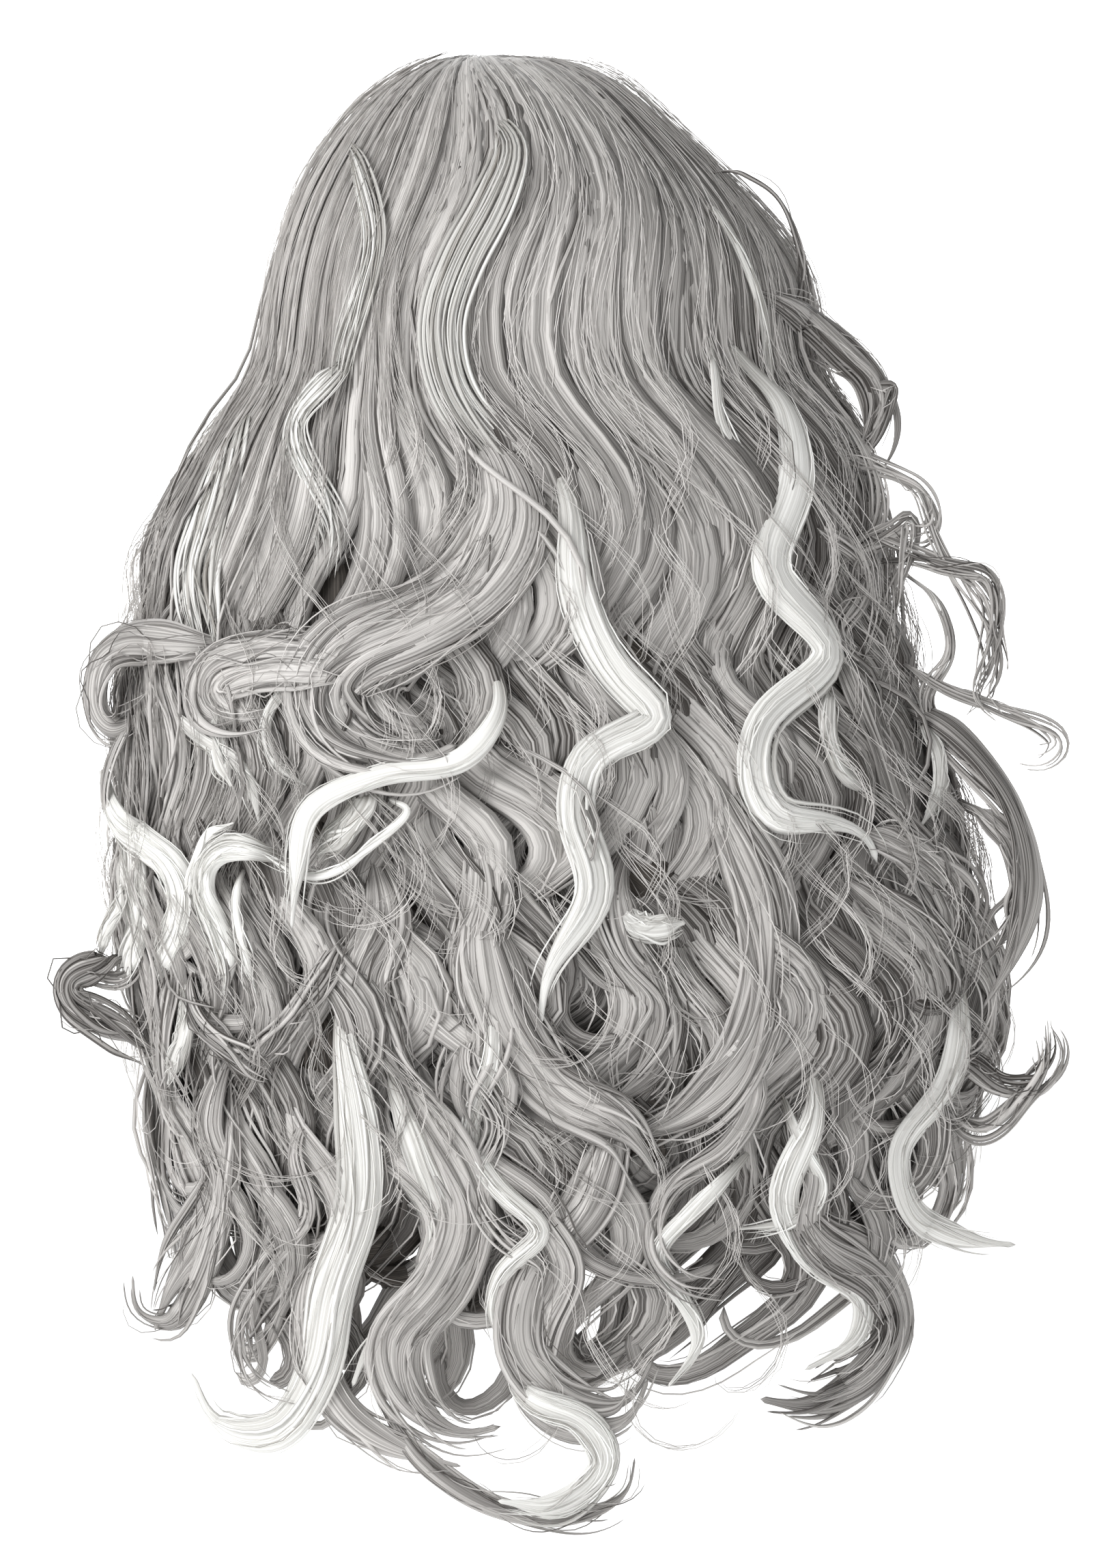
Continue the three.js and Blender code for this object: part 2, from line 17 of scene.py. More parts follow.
import bpy
import numpy as np
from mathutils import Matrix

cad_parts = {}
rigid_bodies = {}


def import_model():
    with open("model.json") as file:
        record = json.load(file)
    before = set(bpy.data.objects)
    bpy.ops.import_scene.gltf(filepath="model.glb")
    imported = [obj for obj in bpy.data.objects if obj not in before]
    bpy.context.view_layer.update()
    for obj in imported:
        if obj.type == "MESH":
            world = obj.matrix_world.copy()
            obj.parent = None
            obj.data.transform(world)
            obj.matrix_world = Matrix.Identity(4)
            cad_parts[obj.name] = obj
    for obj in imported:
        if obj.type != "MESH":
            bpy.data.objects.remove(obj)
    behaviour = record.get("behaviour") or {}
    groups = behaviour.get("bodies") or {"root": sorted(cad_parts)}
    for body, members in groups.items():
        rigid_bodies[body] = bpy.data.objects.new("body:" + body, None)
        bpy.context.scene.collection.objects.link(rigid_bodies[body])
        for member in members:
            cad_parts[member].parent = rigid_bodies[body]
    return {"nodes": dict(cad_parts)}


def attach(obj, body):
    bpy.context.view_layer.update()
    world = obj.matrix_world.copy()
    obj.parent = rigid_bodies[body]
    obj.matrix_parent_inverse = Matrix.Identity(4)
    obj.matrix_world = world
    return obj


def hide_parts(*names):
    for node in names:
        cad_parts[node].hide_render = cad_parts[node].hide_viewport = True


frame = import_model()

LOG = logging.getLogger("wig")
MM = 0.001
Array = np.ndarray
# One drawn lock: width, thickness, distance out of the form, tone and bends.
DrawnRows = tuple[tuple[float, float, float, float, tuple[int, ...]], ...]
# Azimuths of the first and the last lock that leave the parting sideways.
PARTED_ROOTS = (92.0, 135.0)
# Share of a lock's length at which its tip begins.
TIP_BEGINS = 0.76
# Shares of the half spread and of the hair's length are written in thousandths in the tables of bends.
BEND_SCALE = 1000.0
# Millimetres on the fibre map between one lock and the next.
MAP_GAP = 97.0


class Fall(Enum):
    """The parts of the wig whose locks are made together."""

    BACK = "back_fall"
    LEFT = "left_fall"
    RIGHT = "right_fall"


class Layer(Enum):
    """How deep a lock lies, with its tone from 0, dark, to 1, light."""

    # Deeper layers get darker tones, as painted shade inside the hair.
    DEEP = 0.24
    MIDDLE = 0.38
    OUTER = 0.7


def smooth(value: Array, low: float, high: float) -> Array:
    """Ease from 0 at low to 1 at high, with level ends: 3t^2 - 2t^3 of the share t of the way.

    Args:
        value: the numbers to ease.
        low: where the result leaves 0.
        high: where it reaches 1.

    Returns:
        The eased shares.
    """
    t = np.clip((value - low) / (high - low), 0.0, 1.0)
    return t * t * (3.0 - 2.0 * t)


def mix(a: Array, b: Array, share: Array) -> Array:
    """Go in a straight line from a to b by a share."""
    return a + (b - a) * share


def unit(vectors: Array) -> Array:
    """Scale vectors on the last axis to length 1."""
    return vectors / np.maximum(np.linalg.norm(vectors, axis=-1, keepdims=True), 1e-9)


def linear(hex_colour: str) -> tuple[float, float, float, float]:
    """Turn an sRGB hex colour into the linear values that a shader takes.

    Args:
        hex_colour: six hex digits after a number sign.

    Returns:
        Linear red, green, blue and an alpha of 1.
    """
    parts = [int(hex_colour[i : i + 2], 16) / 255.0 for i in (1, 3, 5)]
    red, green, blue = (p / 12.92 if p <= 0.04045 else ((p + 0.055) / 1.055) ** 2.4 for p in parts)
    return red, green, blue, 1.0


# The draped form


@dataclass(frozen=True)
class Drape:
    """The wig's outer form, as the solids have it: a dome over the head and sections below it.

    A place on the form has an azimuth, in degrees from straight back and positive to the wearer's
    right, and an arc, the distance down the form from the top of the hair.
    """

    hair_top: float = 15.0
    dome_height: float = 150.0
    left_reach: float = 102.0
    right_reach: float = 107.0
    back_reach: float = 119.0
    front_reach: float = 113.0
    left_power: float = 2.0
    right_power: float = 3.0
    back_power: float = 2.2
    flare_reach: float = 52.0
    flare_top: float = 20.0
    flare_full: float = 120.0
    hair_length: float = 674.0
    half_spread: float = 231.0
    # Depth below the hair's top, then reach left, right, back and front, then where it is widest.
    sections: tuple[tuple[float, ...], ...] = (
        (0.265, 0.53, 0.77, 1.01, 1.0, -0.07),
        (0.346, 0.67, 0.82, 1.04, 0.98, -0.17),
        (0.454, 0.71, 0.89, 1.1, 0.95, -0.3),
        (0.562, 0.72, 1.0, 1.15, 0.92, -0.38),
        (0.669, 0.69, 1.05, 1.17, 0.9, -0.42),
        (0.777, 0.64, 0.98, 1.14, 0.9, -0.42),
        (0.886, 0.57, 0.84, 1.1, 0.9, -0.42),
        (1.0, 0.5, 0.6, 1.07, 0.9, -0.42),
        (1.1, 0.5, 0.6, 1.07, 0.9, -0.42),
    )
    table_reach: float = 1.1  # how far down the table goes, as a share of the hair's length
    softened_over: int = 21  # millimetres to each side over which the sections are averaged
    softened_between: tuple[float, float] = (60.0, 120.0)  # depths between which that sets in

    def dome_share(self, down: Array, power: float) -> Array:
        """Give the dome's reach at a depth, (1 - rise^power)^(1/power), as a share of its full reach."""
        rise = np.abs(1.0 - np.clip(down / self.dome_height, 0.0, 1.0))
        return (1.0 - rise**power) ** (1.0 / power)

    def table(self) -> tuple[Array, Array]:
        """Work out the form's sections at every millimetre of depth.

        The dome's sections end at its height. The rows of the table are joined by straight lines
        below that, and both are then averaged over some length, so that the hair has no creases.

        Returns:
            The depths, and an array of rows with reach left, right, back and front, and the middle.
        """
        down = np.arange(0.0, self.hair_length * self.table_reach)
        rows = np.array(self.sections)
        spread, back, front = self.half_spread, self.back_reach, self.front_reach
        flare = self.flare_reach * smooth(down, self.flare_top, self.flare_full)
        dome = np.stack(
            [
                self.left_reach * self.dome_share(down, self.left_power),
                self.right_reach * self.dome_share(down, self.right_power) + flare,
                back * self.dome_share(down, self.back_power),
                front * self.dome_share(down, self.back_power),
                np.zeros_like(down),
            ],
            axis=1,
        )
        columns = range(dome.shape[1])
        foot = dome[int(self.dome_height)][None]
        knots = np.concatenate([[self.dome_height], rows[:, 0] * self.hair_length])
        values = np.concatenate([foot, rows[:, 1:] * [spread, spread, back, front, back]])
        below = np.stack([np.interp(down, knots, values[:, k]) for k in columns], axis=1)
        form = np.where(down[:, None] <= self.dome_height, dome, below)
        margin = self.softened_over
        kernel = np.hanning(2 * margin + 1)
        kernel /= kernel.sum()
        padded = np.pad(form, ((margin, margin), (0, 0)), mode="edge")
        soft = np.stack([np.convolve(padded[:, k], kernel, mode="valid") for k in columns], axis=1)
        blend = smooth(down, *self.softened_between)[:, None]
        return down, form * (1.0 - blend) + soft * blend

    @property
    def quarter(self) -> float:
        """Give the arc at the foot of the dome, a quarter of a circle."""
        return self.left_reach * math.pi / 2.0

    def down_of(self, arc: Array) -> Array:
        """Turn an arc into a depth: H(1 - cos(arc / R)) on the dome, then straight down."""
        turned = np.clip(arc, 0.0, self.quarter) / self.left_reach
        bent = self.dome_height * (1.0 - np.cos(turned))
        return np.where(arc < self.quarter, bent, self.dome_height + arc - self.quarter)

    def arc_of(self, down: Array) -> Array:
        """Turn a depth into an arc, the other way round."""
        bent = self.left_reach * np.arccos(1.0 - np.clip(down / self.dome_height, 0.0, 1.0))
        return np.where(down < self.dome_height, bent, self.quarter + down - self.dome_height)


DRAPE = Drape()
TABLE_DOWN, TABLE_FORM = DRAPE.table()


def place(azimuth: Array, arc: Array) -> Array:
    """Find the points of the form at some azimuths and arcs.

    In each level section the point is (reach x sin a, mid - depth x cos a), with its own reach to
    the left and right, and its own depth to the back and front.

    Args:
        azimuth: degrees from straight back.
        arc: distance down the form from its top.

    Returns:
        Points, with X, Y and Z on the last axis.
    """
    azimuth, arc = np.broadcast_arrays(azimuth, arc)
    down = DRAPE.down_of(arc)
    left, right, back, front, middle = (
        np.interp(down, TABLE_DOWN, TABLE_FORM[:, k]) for k in range(5)
    )
    sine, cosine = np.sin(np.radians(azimuth)), np.cos(np.radians(azimuth))
    reach = mix(left, right, smooth(sine, -0.12, 0.12))
    depth = np.where(cosine > 0.0, middle + back, front - middle)
    return np.stack([reach * sine, middle - depth * cosine, DRAPE.hair_top - down], axis=-1)


def normals(azimuth: Array, arc: Array) -> Array:
    """Find the way out of the form: the cross product of its slopes along azimuth and arc."""
    arc = np.maximum(arc, 3.0)
    round_it = place(azimuth + 1.0, arc) - place(azimuth - 1.0, arc)
    down_it = place(azimuth, arc + 2.0) - place(azimuth, arc - 2.0)
    return unit(np.cross(down_it, round_it))


def girth(azimuth: Array, arc: Array) -> Array:
    """Find how many millimetres of the form's girth lie in one degree of azimuth there."""
    step = place(azimuth + 1.0, arc) - place(azimuth - 1.0, arc)
    return np.linalg.norm(step, axis=-1) / 2.0


def azimuth_at(across: Array, down: Array) -> Array:
    """Find the azimuth on the back half of the form that shows at a place across and down."""
    left = np.interp(down, TABLE_DOWN, TABLE_FORM[:, 0])
    right = np.interp(down, TABLE_DOWN, TABLE_FORM[:, 1])
    reach = np.maximum(np.where(across < 0.0, left, right), 1.0)
    return np.degrees(np.arcsin(np.clip(across / reach, -0.95, 0.95)))


# Locks as arrays


@dataclass
class Locks:
    """Some locks of one kind: their paths, the way out of the hair, their sizes and their tones.

    Points and ways out have the shape (locks, stations, 3), and the rest (locks, stations).
    """

    points: Array
    outward: Array
    width: Array
    thick: Array
    tone: Array

    def __len__(self) -> int:
        """Count the locks."""
        return len(self.points)

    def arrays(self) -> tuple[Array, ...]:
        """List the arrays in the order of the fields."""
        return self.points, self.outward, self.width, self.thick, self.tone

    def picked(self, choice: Array) -> "Locks":
        """Take some of the locks, by index or by a mask."""
        return Locks(*(values[choice] for values in self.arrays()))


def joined(parts: Iterable[Locks]) -> Locks:
    """Put several sets with the same number of stations into one."""
    return Locks(*map(np.concatenate, zip(*(part.arrays() for part in parts))))


def column(values: Array) -> Array:
    """Stand an array up as a column, with one row for each lock."""
    return values[:, None]


def cumulative(values: Array, step: Array) -> Array:
    """Add up values along the last axis by the trapezium rule, from 0, over steps of given lengths."""
    middles = (values[:, 1:] + values[:, :-1]) / 2.0 * step
    return np.concatenate([np.zeros((len(values), 1)), np.cumsum(middles, axis=1)], axis=1)


@dataclass
class Growth:
    """What sets out a group of locks that grow from the parting, each an array over the locks."""

    root: Array  # azimuths at the root and the tip
    tip: Array
    start: Array  # arcs at the root and at the lowest point
    end: Array
    lift: Array  # distance out from the form
    width: Array
    thick: Array
    tone: Array
    swing: Array  # how strong the waves are, as a share of usual
    phase: Array  # how far each lock is out of step low down, in turns
    hook: Array  # degrees that the tip turns through, positive to the right
    curl: Array  # radius of the tip's curl
    parted: Array  # 1 where a lock leaves the parting sideways
    twist: Array  # how far, in radians, the lock's broad face turns as it waves


@dataclass(frozen=True)
class Waves:
    """The set of the waves. Strands side by side on the crown are in step, and lower down less so."""

    # The number of waves that a lock has passed by some arc: the extremes to the right are whole.
    arcs: tuple[float, ...] = (0.0, 85.0, 143.0, 230.0, 290.0, 345.0, 740.0)
    turns: tuple[float, ...] = (-0.4, 0.0, 0.5, 1.0, 1.5, 2.0, 5.4)
    # How far, in radians, the path turns from straight down to each side.
    heading_arcs: tuple[float, ...] = (0.0, 30.0, 80.0, 150.0, 260.0, 420.0, 740.0)
    headings: tuple[float, ...] = (0.0, 0.22, 0.56, 0.68, 0.74, 0.82, 0.88)
    # The crown's sides are combed flatter: azimuths of the roots, and the share of the waves there.
    side_roots: tuple[float, ...] = (-90.0, -40.0, -12.0, 30.0, 90.0)
    side_shares: tuple[float, ...] = (0.35, 0.4, 1.0, 1.0, 0.5)
    slack: float = 1.16  # a waved lock's length, as a share of its straight length
    depth_swing: float = 7.5
    shingle: float = 0.15  # radians by which each lock tilts over its neighbour
    combed_flat: float = 0.4  # share of the lift and of the tilt that is left on the combed crown
    # Between which arcs, in millimetres from the parting, each thing sets in.
    out_of_step: tuple[float, float] = (130.0, 330.0)
    full_swing: tuple[float, float] = (150.0, 290.0)
    deep_swing: tuple[float, float] = (60.0, 300.0)
    lifted: tuple[float, float] = (0.0, 40.0)
    loosened: tuple[float, float] = (80.0, 280.0)
    twisting: tuple[float, float] = (150.0, 330.0)
    widened: tuple[float, float] = (120.0, 280.0)
    thickened: tuple[float, float] = (80.0, 300.0)
    own_tone: tuple[float, float] = (60.0, 240.0)
    # Arcs over which the painted highlight on the wave crests and the painted shade in their troughs set in.
    wave_highlight_and_shade_arcs: tuple[float, float] = (40.0, 120.0)
    # Arcs over which the painted shade along the parting fades out.
    painted_parting_shade: tuple[float, float] = (8.0, 40.0)

    def turned(self, arc: Array, phase: Array) -> Array:
        """Give the phase angle at an arc, in radians."""
        turns = np.interp(arc, self.arcs, self.turns)
        return 2.0 * math.pi * (turns + phase * smooth(arc, *self.out_of_step))


WAVES = Waves()


def wave_path(growth: Growth, stations: int) -> tuple[Array, Array, Array, Array]:
    """Find where the paths of grown locks lie on the form.

    The heading of a path, measured from straight down, is a sine of the wave's phase, weaker on the
    sides of the crown, to which the curl at the tip adds a turn. The path is the sum of its headings
    along its length. The stations lie closer together towards the tip, at shares t(1.45 - 0.45t) of
    the length.

    Args:
        growth: what sets out the locks.
        stations: how many points each path gets.

    Returns:
        At each station the share of the length, the wave's phase, the azimuth and the arc.
    """
    even = np.linspace(0.0, 1.0, stations)[None, :]
    share = even * (1.45 - 0.45 * even)
    start = column(growth.start)
    hook_length = column(np.abs(np.radians(growth.hook)) * growth.curl)
    body = column(growth.end - growth.start)
    length = body * WAVES.slack + hook_length
    rough_arc = start + np.minimum(share * length / WAVES.slack, body)
    phase = WAVES.turned(rough_arc, column(growth.phase))
    side = np.interp(growth.root, WAVES.side_roots, WAVES.side_shares)
    swing = np.interp(rough_arc, WAVES.heading_arcs, WAVES.headings) * column(growth.swing)
    swing = swing * mix(column(side), 1.0, smooth(rough_arc, *WAVES.full_swing))
    in_hook = share * length - (length - hook_length)
    curled = np.clip(in_hook / np.maximum(hook_length, 1.0), 0.0, 1.0)
    heading = -swing * np.sin(phase) * (1.0 - 0.6 * curled)
    heading = heading + column(np.radians(growth.hook)) * curled**1.25
    steps = length * np.diff(share, axis=1)
    fallen = cumulative(np.cos(heading), steps)
    drift = cumulative(np.sin(heading), steps)
    fallen *= body / np.maximum(fallen.max(axis=1, keepdims=True), 1.0)
    arc = start + fallen
    way = np.clip(fallen / np.maximum(body, 1.0), 0.0, 1.0)
    azimuth = mix(column(growth.root), column(growth.tip), way)
    # The side locks run along the parting first, those further forward for longer.
    parting = np.sign(column(growth.root)) * 178.0
    turn_off = np.interp(np.abs(growth.root), PARTED_ROOTS, (26.0, 95.0))
    leaving = 1.0 - smooth(arc, start - 8.0, column(growth.start + turn_off))
    azimuth = azimuth + (parting - azimuth) * leaving * column(growth.parted)
    azimuth = azimuth + drift / np.maximum(girth(azimuth, arc), 0.75)
    return share, phase, azimuth, arc


def combed_tone_and_painted_light(own: Array, share: Array, phase: Array, azimuth: Array, arc: Array) -> Array:
    """Shade grown locks.

    On the crown the tones are evener. Painted shade darkens the parting and the troughs of the
    waves, and a painted highlight lightens their crests. The wearer's right is painted a little
    darker, as shade away from the key light, and the tips are painted a little paler, as less shade
    falls there.

    Args:
        own: each lock's own tone.
        share: the share of the length at each station.
        phase: the wave's phase there.
        azimuth: the azimuth there.
        arc: the arc there.

    Returns:
        The tone at each station.
    """
    tone = mix(0.55 * own + 0.3, own, smooth(arc, *WAVES.own_tone))
    # Painted highlight on the crests of the waves and painted shade in their troughs.
    wave_highlight_and_shade = 0.12 * np.cos(phase + 0.2) * smooth(arc, *WAVES.wave_highlight_and_shade_arcs)
    # Take off the painted wave light, and add painted shade along the parting.
    tone = tone - wave_highlight_and_shade - 0.12 * (1.0 - smooth(arc, *WAVES.painted_parting_shade))
    # Painted shade on the wearer's right, away from the key light; the tips are painted a little paler, as
    # less shade falls there.
    tone = tone - 0.1 * smooth(azimuth, 25.0, 60.0) + 0.05 * smooth(share, 0.7, 1.0)
    return np.clip(tone, 0.1, 0.8)


def grown(growth: Growth, stations: int) -> Locks:
    """Make locks that grow from the parting and hang in waves.

    Each path lies on the form at the lock's own distance out, swings in and out with the waves, and
    turns its broad face as it does. A lock is narrow at its root, where there is little room, and
    thinner towards its tip.

    Args:
        growth: what sets out the locks.
        stations: how many points each path gets.

    Returns:
        The locks.
    """
    share, phase, azimuth, arc = wave_path(growth, stations)
    outward = normals(azimuth, arc)
    depth = WAVES.depth_swing * smooth(arc, *WAVES.deep_swing) * np.cos(phase + 0.6) * column(growth.swing)
    flat = mix(WAVES.combed_flat, 1.0, smooth(arc, *WAVES.loosened))
    lift = column(growth.lift) * flat * smooth(arc, *WAVES.lifted) + depth - column(growth.thick) / 2.0
    points = place(azimuth, arc) + outward * lift[..., None]
    across = unit(np.cross(unit(np.gradient(points, axis=1)), outward))
    twist = column(growth.twist) * smooth(arc, *WAVES.twisting) * np.sin(phase + 0.9)
    turn = WAVES.shingle * flat + twist
    facing = outward * np.cos(turn)[..., None] + across * np.sin(turn)[..., None]
    room = girth(azimuth, np.maximum(arc, 4.0)) * mix(8.0, 22.0, smooth(arc, *WAVES.widened))
    tip = smooth(share, TIP_BEGINS, 1.0)
    width = np.minimum(column(growth.width), 6.0 + room)
    width = width * (1.0 - 0.7 * tip) * (0.6 + 0.4 * smooth(share, 0.0, 0.08))
    width = width * (1.0 + 0.1 * np.cos(2.0 * phase))
    thick = column(growth.thick) * (1.0 - 0.5 * tip) * (0.3 + 0.7 * smooth(arc, *WAVES.thickened))
    tone = combed_tone_and_painted_light(column(growth.tone), share, phase, azimuth, arc)
    return Locks(points, facing, width, thick, tone)


@dataclass(frozen=True)
class Drawing:
    """How locks that are drawn by their bends lie on the form."""

    eased_over: float = 20.0  # millimetres over which a bend is averaged
    root_depth: float = 15.0  # how far the root is sunk into the hair
    sunk_share: float = 0.22  # share of the length after which the lock is out of the hair
    widest_azimuth: float = 62.0  # beyond it the way out of the form turns no further
    wave: float = 19.0  # millimetres for each radian of the swing in and out
    turn: float = 34.0  # millimetres for each radian of the turn of the broad face
    most_turn: float = 0.3  # radians

    def curve(self, bends: tuple[int, ...], stations: int) -> tuple[Array, Array]:
        """Run a smooth curve through the bends of one lock.

        It is made of cubic pieces whose slope at each bend is that between its two neighbours. The
        result is averaged over some length by a raised cosine, so that no bend is sharp.

        Args:
            bends: across and down in thousandths, bend after bend.
            stations: how many points the curve gets.

        Returns:
            Points across and down in millimetres, and the distance along the bends at each of them.
        """
        knots = np.reshape(bends, (-1, 2)) / BEND_SCALE * [DRAPE.half_spread, DRAPE.hair_length]
        gaps = np.linalg.norm(np.diff(knots, axis=0), axis=1)
        at = np.concatenate([[0.0], np.cumsum(gaps)])
        slopes = np.gradient(knots, at, axis=0)
        want = np.linspace(0.0, 1.0, stations) * at[-1]
        piece = np.clip(np.searchsorted(at, want, side="right") - 1, 0, len(gaps) - 1)
        t = column((want - at[piece]) / gaps[piece])
        h = column(gaps[piece])
        flat = (
            (2 * t**3 - 3 * t**2 + 1) * knots[piece]
            + (t**3 - 2 * t**2 + t) * h * slopes[piece]
            + (3 * t**2 - 2 * t**3) * knots[piece + 1]
            + (t**3 - t**2) * h * slopes[piece + 1]
        )
        reach = min(int(self.eased_over / 2.0 * stations / at[-1]) + 1, stations // 8)
        padded = np.pad(flat, ((reach, reach), (0, 0)), mode="reflect", reflect_type="odd")
        kernel = np.hanning(2 * reach + 3)[1:-1]
        kernel = kernel / kernel.sum()
        eased = [np.convolve(padded[:, k], kernel, mode="valid") for k in (0, 1)]
        return np.stack(eased, axis=1), want

    def locks(self, rows: DrawnRows, stations: int, fade: float) -> Locks:
        """Lay the curves of some locks on the form, as seen from behind.

        Each lies at its distance out of the form, swings in and out a little, and has its root sunk
        into the hair.

        Args:
            rows: for each lock its width, thickness, distance out of the form, tone and bends.
            stations: how many points each path gets.
            fade: how much darker a lock is at its root.

        Returns:
            The locks.
        """
        share = np.linspace(0.0, 1.0, stations)
        sunk = self.root_depth * (1.0 - smooth(share, 0.0, self.sunk_share))
        swell = mix(0.3, 1.0, smooth(share, 0.0, 0.28)) * mix(1.0, 0.6, smooth(share, 0.74, 1.0))
        points_of, facing_of = [], []
        for width, _, lift, _, bends in rows:
            flat, want = self.curve(bends, stations)
            azimuth = azimuth_at(flat[:, 0], flat[:, 1])
            arc = DRAPE.arc_of(flat[:, 1])
            outward = normals(np.clip(azimuth, -self.widest_azimuth, self.widest_azimuth), arc)
            wave = np.clip(0.6 + lift, 0.0, 3.0) * np.sin(want / self.wave)
            points = place(azimuth, arc) + outward * column(lift + wave - sunk)
            points[:, 0] = flat[:, 0]
            turn = self.most_turn * np.sin(want / self.turn + width)
            across = unit(np.cross(unit(np.gradient(points, axis=0)), outward))
            points_of.append(points)
            facing_of.append(outward * column(np.cos(turn)) + across * column(np.sin(turn)))
        widths, thicks, tones = (np.array([[row[k]] for row in rows]) for k in (0, 1, 3))
        return Locks(
            np.array(points_of),
            np.array(facing_of),
            widths * swell,
            thicks * mix(0.5, 1.0, swell),
            tones - fade * (1.0 - smooth(share, 0.0, 0.24)),
        )


DRAWING = Drawing()


def cross_frames(locks: Locks) -> tuple[Array, Array]:
    """Find each station's two cross directions: across the lock, and out of its broad face.

    Args:
        locks: the locks.

    Returns:
        The direction across, path x outward, and the direction out, across x path.
    """
    along = unit(np.gradient(locks.points, axis=1))
    across = unit(np.cross(along, locks.outward))
    return across, np.cross(across, along)


def length_along(points: Array) -> Array:
    """Measure the distance along each path from its root to each station."""
    steps = np.linalg.norm(np.diff(points, axis=1), axis=-1)
    return np.concatenate([np.zeros((len(points), 1)), np.cumsum(steps, axis=1)], axis=1)


def with_ends(body: Array, values: Array) -> Array:
    """Add the first and the last station's values to what stands for the stations between."""
    return np.concatenate([body, values[:, :1], values[:, -1:]], axis=1)


def corners_of(*parts: Array) -> Array:
    """List the values of every face's corners, face after face."""
    return np.stack(np.broadcast_arrays(*parts), axis=-1).ravel()


def outline_faces(around: int, inner: int) -> tuple[Array, Array, Array, Array]:
    """Lay out the faces of one lock: rings of four-sided faces, with a fan of triangles at each end.

    The vertices of the rings come first, ring after ring, and then the root and the tip.

    Args:
        around: how many columns go round the outline.
        inner: how many rings there are.

    Returns:
        Each corner's vertex, each face's number of corners, and each corner's column and station.
    """
    ring, col = np.arange(inner - 1)[:, None], np.arange(around)[None, :]
    here, beside = ring * around + col, ring * around + (col + 1) % around
    fan = np.arange(around)
    beyond = (fan + 1) % around
    root, last = inner * around, (inner - 1) * around
    vertex = np.concatenate([
        corners_of(here, here + around, beside + around, beside),
        corners_of(root, fan, beyond),
        corners_of(root + 1, last + beyond, last + fan),
    ])
    sizes = np.concatenate([np.full(here.size, 4), np.full(2 * around, 3)])
    columns = np.concatenate([
        corners_of(col, col, col + 1, col + 1 + 0 * ring),
        corners_of(fan + 0.5, fan, fan + 1),
        corners_of(fan + 0.5, fan + 1, fan),
    ])
    stations = np.concatenate([
        corners_of(ring + 1, ring + 2, ring + 2, ring + 1 + 0 * col),
        corners_of(0, 1, 1 + 0 * fan),
        corners_of(inner + 1, inner, inner + 0 * fan),
    ])
    return vertex, sizes, columns, stations


def swept_mesh(name: str, locks: Locks, around: int, ridge: float, seed: int) -> bpy.types.Object:
    """Sweep a flattened, ridged outline along every path and put it all in one mesh.

    At station s and angle a round the outline the point is path + across x cos(a) x w / 2 x r +
    out x sin(a) x t / 2 x r, where r is 1 plus each column's own ridge. The ends are single points.

    Args:
        name: the piece's name.
        locks: the locks to sweep.
        around: how many columns go round the outline.
        ridge: how far columns stand in or out, as a share of the size.
        seed: the start of the random numbers for the ridges.

    Returns:
        The new object, with a map named fibre in millimetres and an attribute named tone.
    """
    rng = np.random.default_rng(seed)
    count, stations = locks.points.shape[:2]
    inner = stations - 2
    across, out = cross_frames(locks)
    share = np.linspace(0.0, 1.0, stations)[None, :, None]
    angle = 2.0 * math.pi * (np.arange(around) / around)
    each = (count, 1, around)
    lean = rng.uniform(-1.0, 1.0, each) + 0.7 * (-1.0) ** np.arange(around)
    slow = np.cos(2.0 * math.pi * (share * rng.uniform(0.6, 2.4, each) + rng.random(each)))
    radius = 1.0 + ridge * lean * (0.7 + 0.5 * slow)
    wide = np.cos(angle) * locks.width[..., None] / 2.0 * radius
    deep = np.sin(angle) * locks.thick[..., None] / 2.0 * radius
    rings = (
        locks.points[:, :, None, :]
        + across[:, :, None, :] * wide[..., None]
        + out[:, :, None, :] * deep[..., None]
    )[:, 1:-1]
    verts = with_ends(rings.reshape(count, inner * around, 3), locks.points)
    vertex, sizes, columns, stations_at = outline_faces(around, inner)
    lock = np.arange(count)[:, None]
    corners = vertex[None, :] + lock * verts.shape[1]
    faces = np.tile(sizes, count)
    starts = np.concatenate([[0], np.cumsum(faces)[:-1]])

    mesh = bpy.data.meshes.new(name)
    mesh.vertices.add(verts.shape[0] * verts.shape[1])
    mesh.vertices.foreach_set("co", (verts * MM).astype(np.float32).ravel())
    mesh.loops.add(corners.size)
    mesh.loops.foreach_set("vertex_index", corners.astype(np.int32).ravel())
    mesh.polygons.add(len(faces))
    mesh.polygons.foreach_set("loop_start", starts.astype(np.int32))
    mesh.polygons.foreach_set("use_smooth", np.full(len(faces), around > 3))
    mesh.update(calc_edges=True)

    girths = math.pi * np.maximum(locks.width.max(axis=1), locks.thick.max(axis=1))
    u = (columns / around)[None, :] * girths[:, None] + lock * MAP_GAP
    v = length_along(locks.points)[:, stations_at]
    layer = mesh.uv_layers.new(name="fibre")
    layer.data.foreach_set("uv", np.stack([u, v], axis=-1).astype(np.float32).ravel())
    tone = mesh.attributes.new("tone", "FLOAT", "POINT")
    tones = with_ends(np.repeat(locks.tone[:, 1:-1], around, axis=1), locks.tone)
    tone.data.foreach_set("value", tones.astype(np.float32).ravel())
    piece = bpy.data.objects.new(name, mesh)
    bpy.context.scene.collection.objects.link(piece)
    return piece


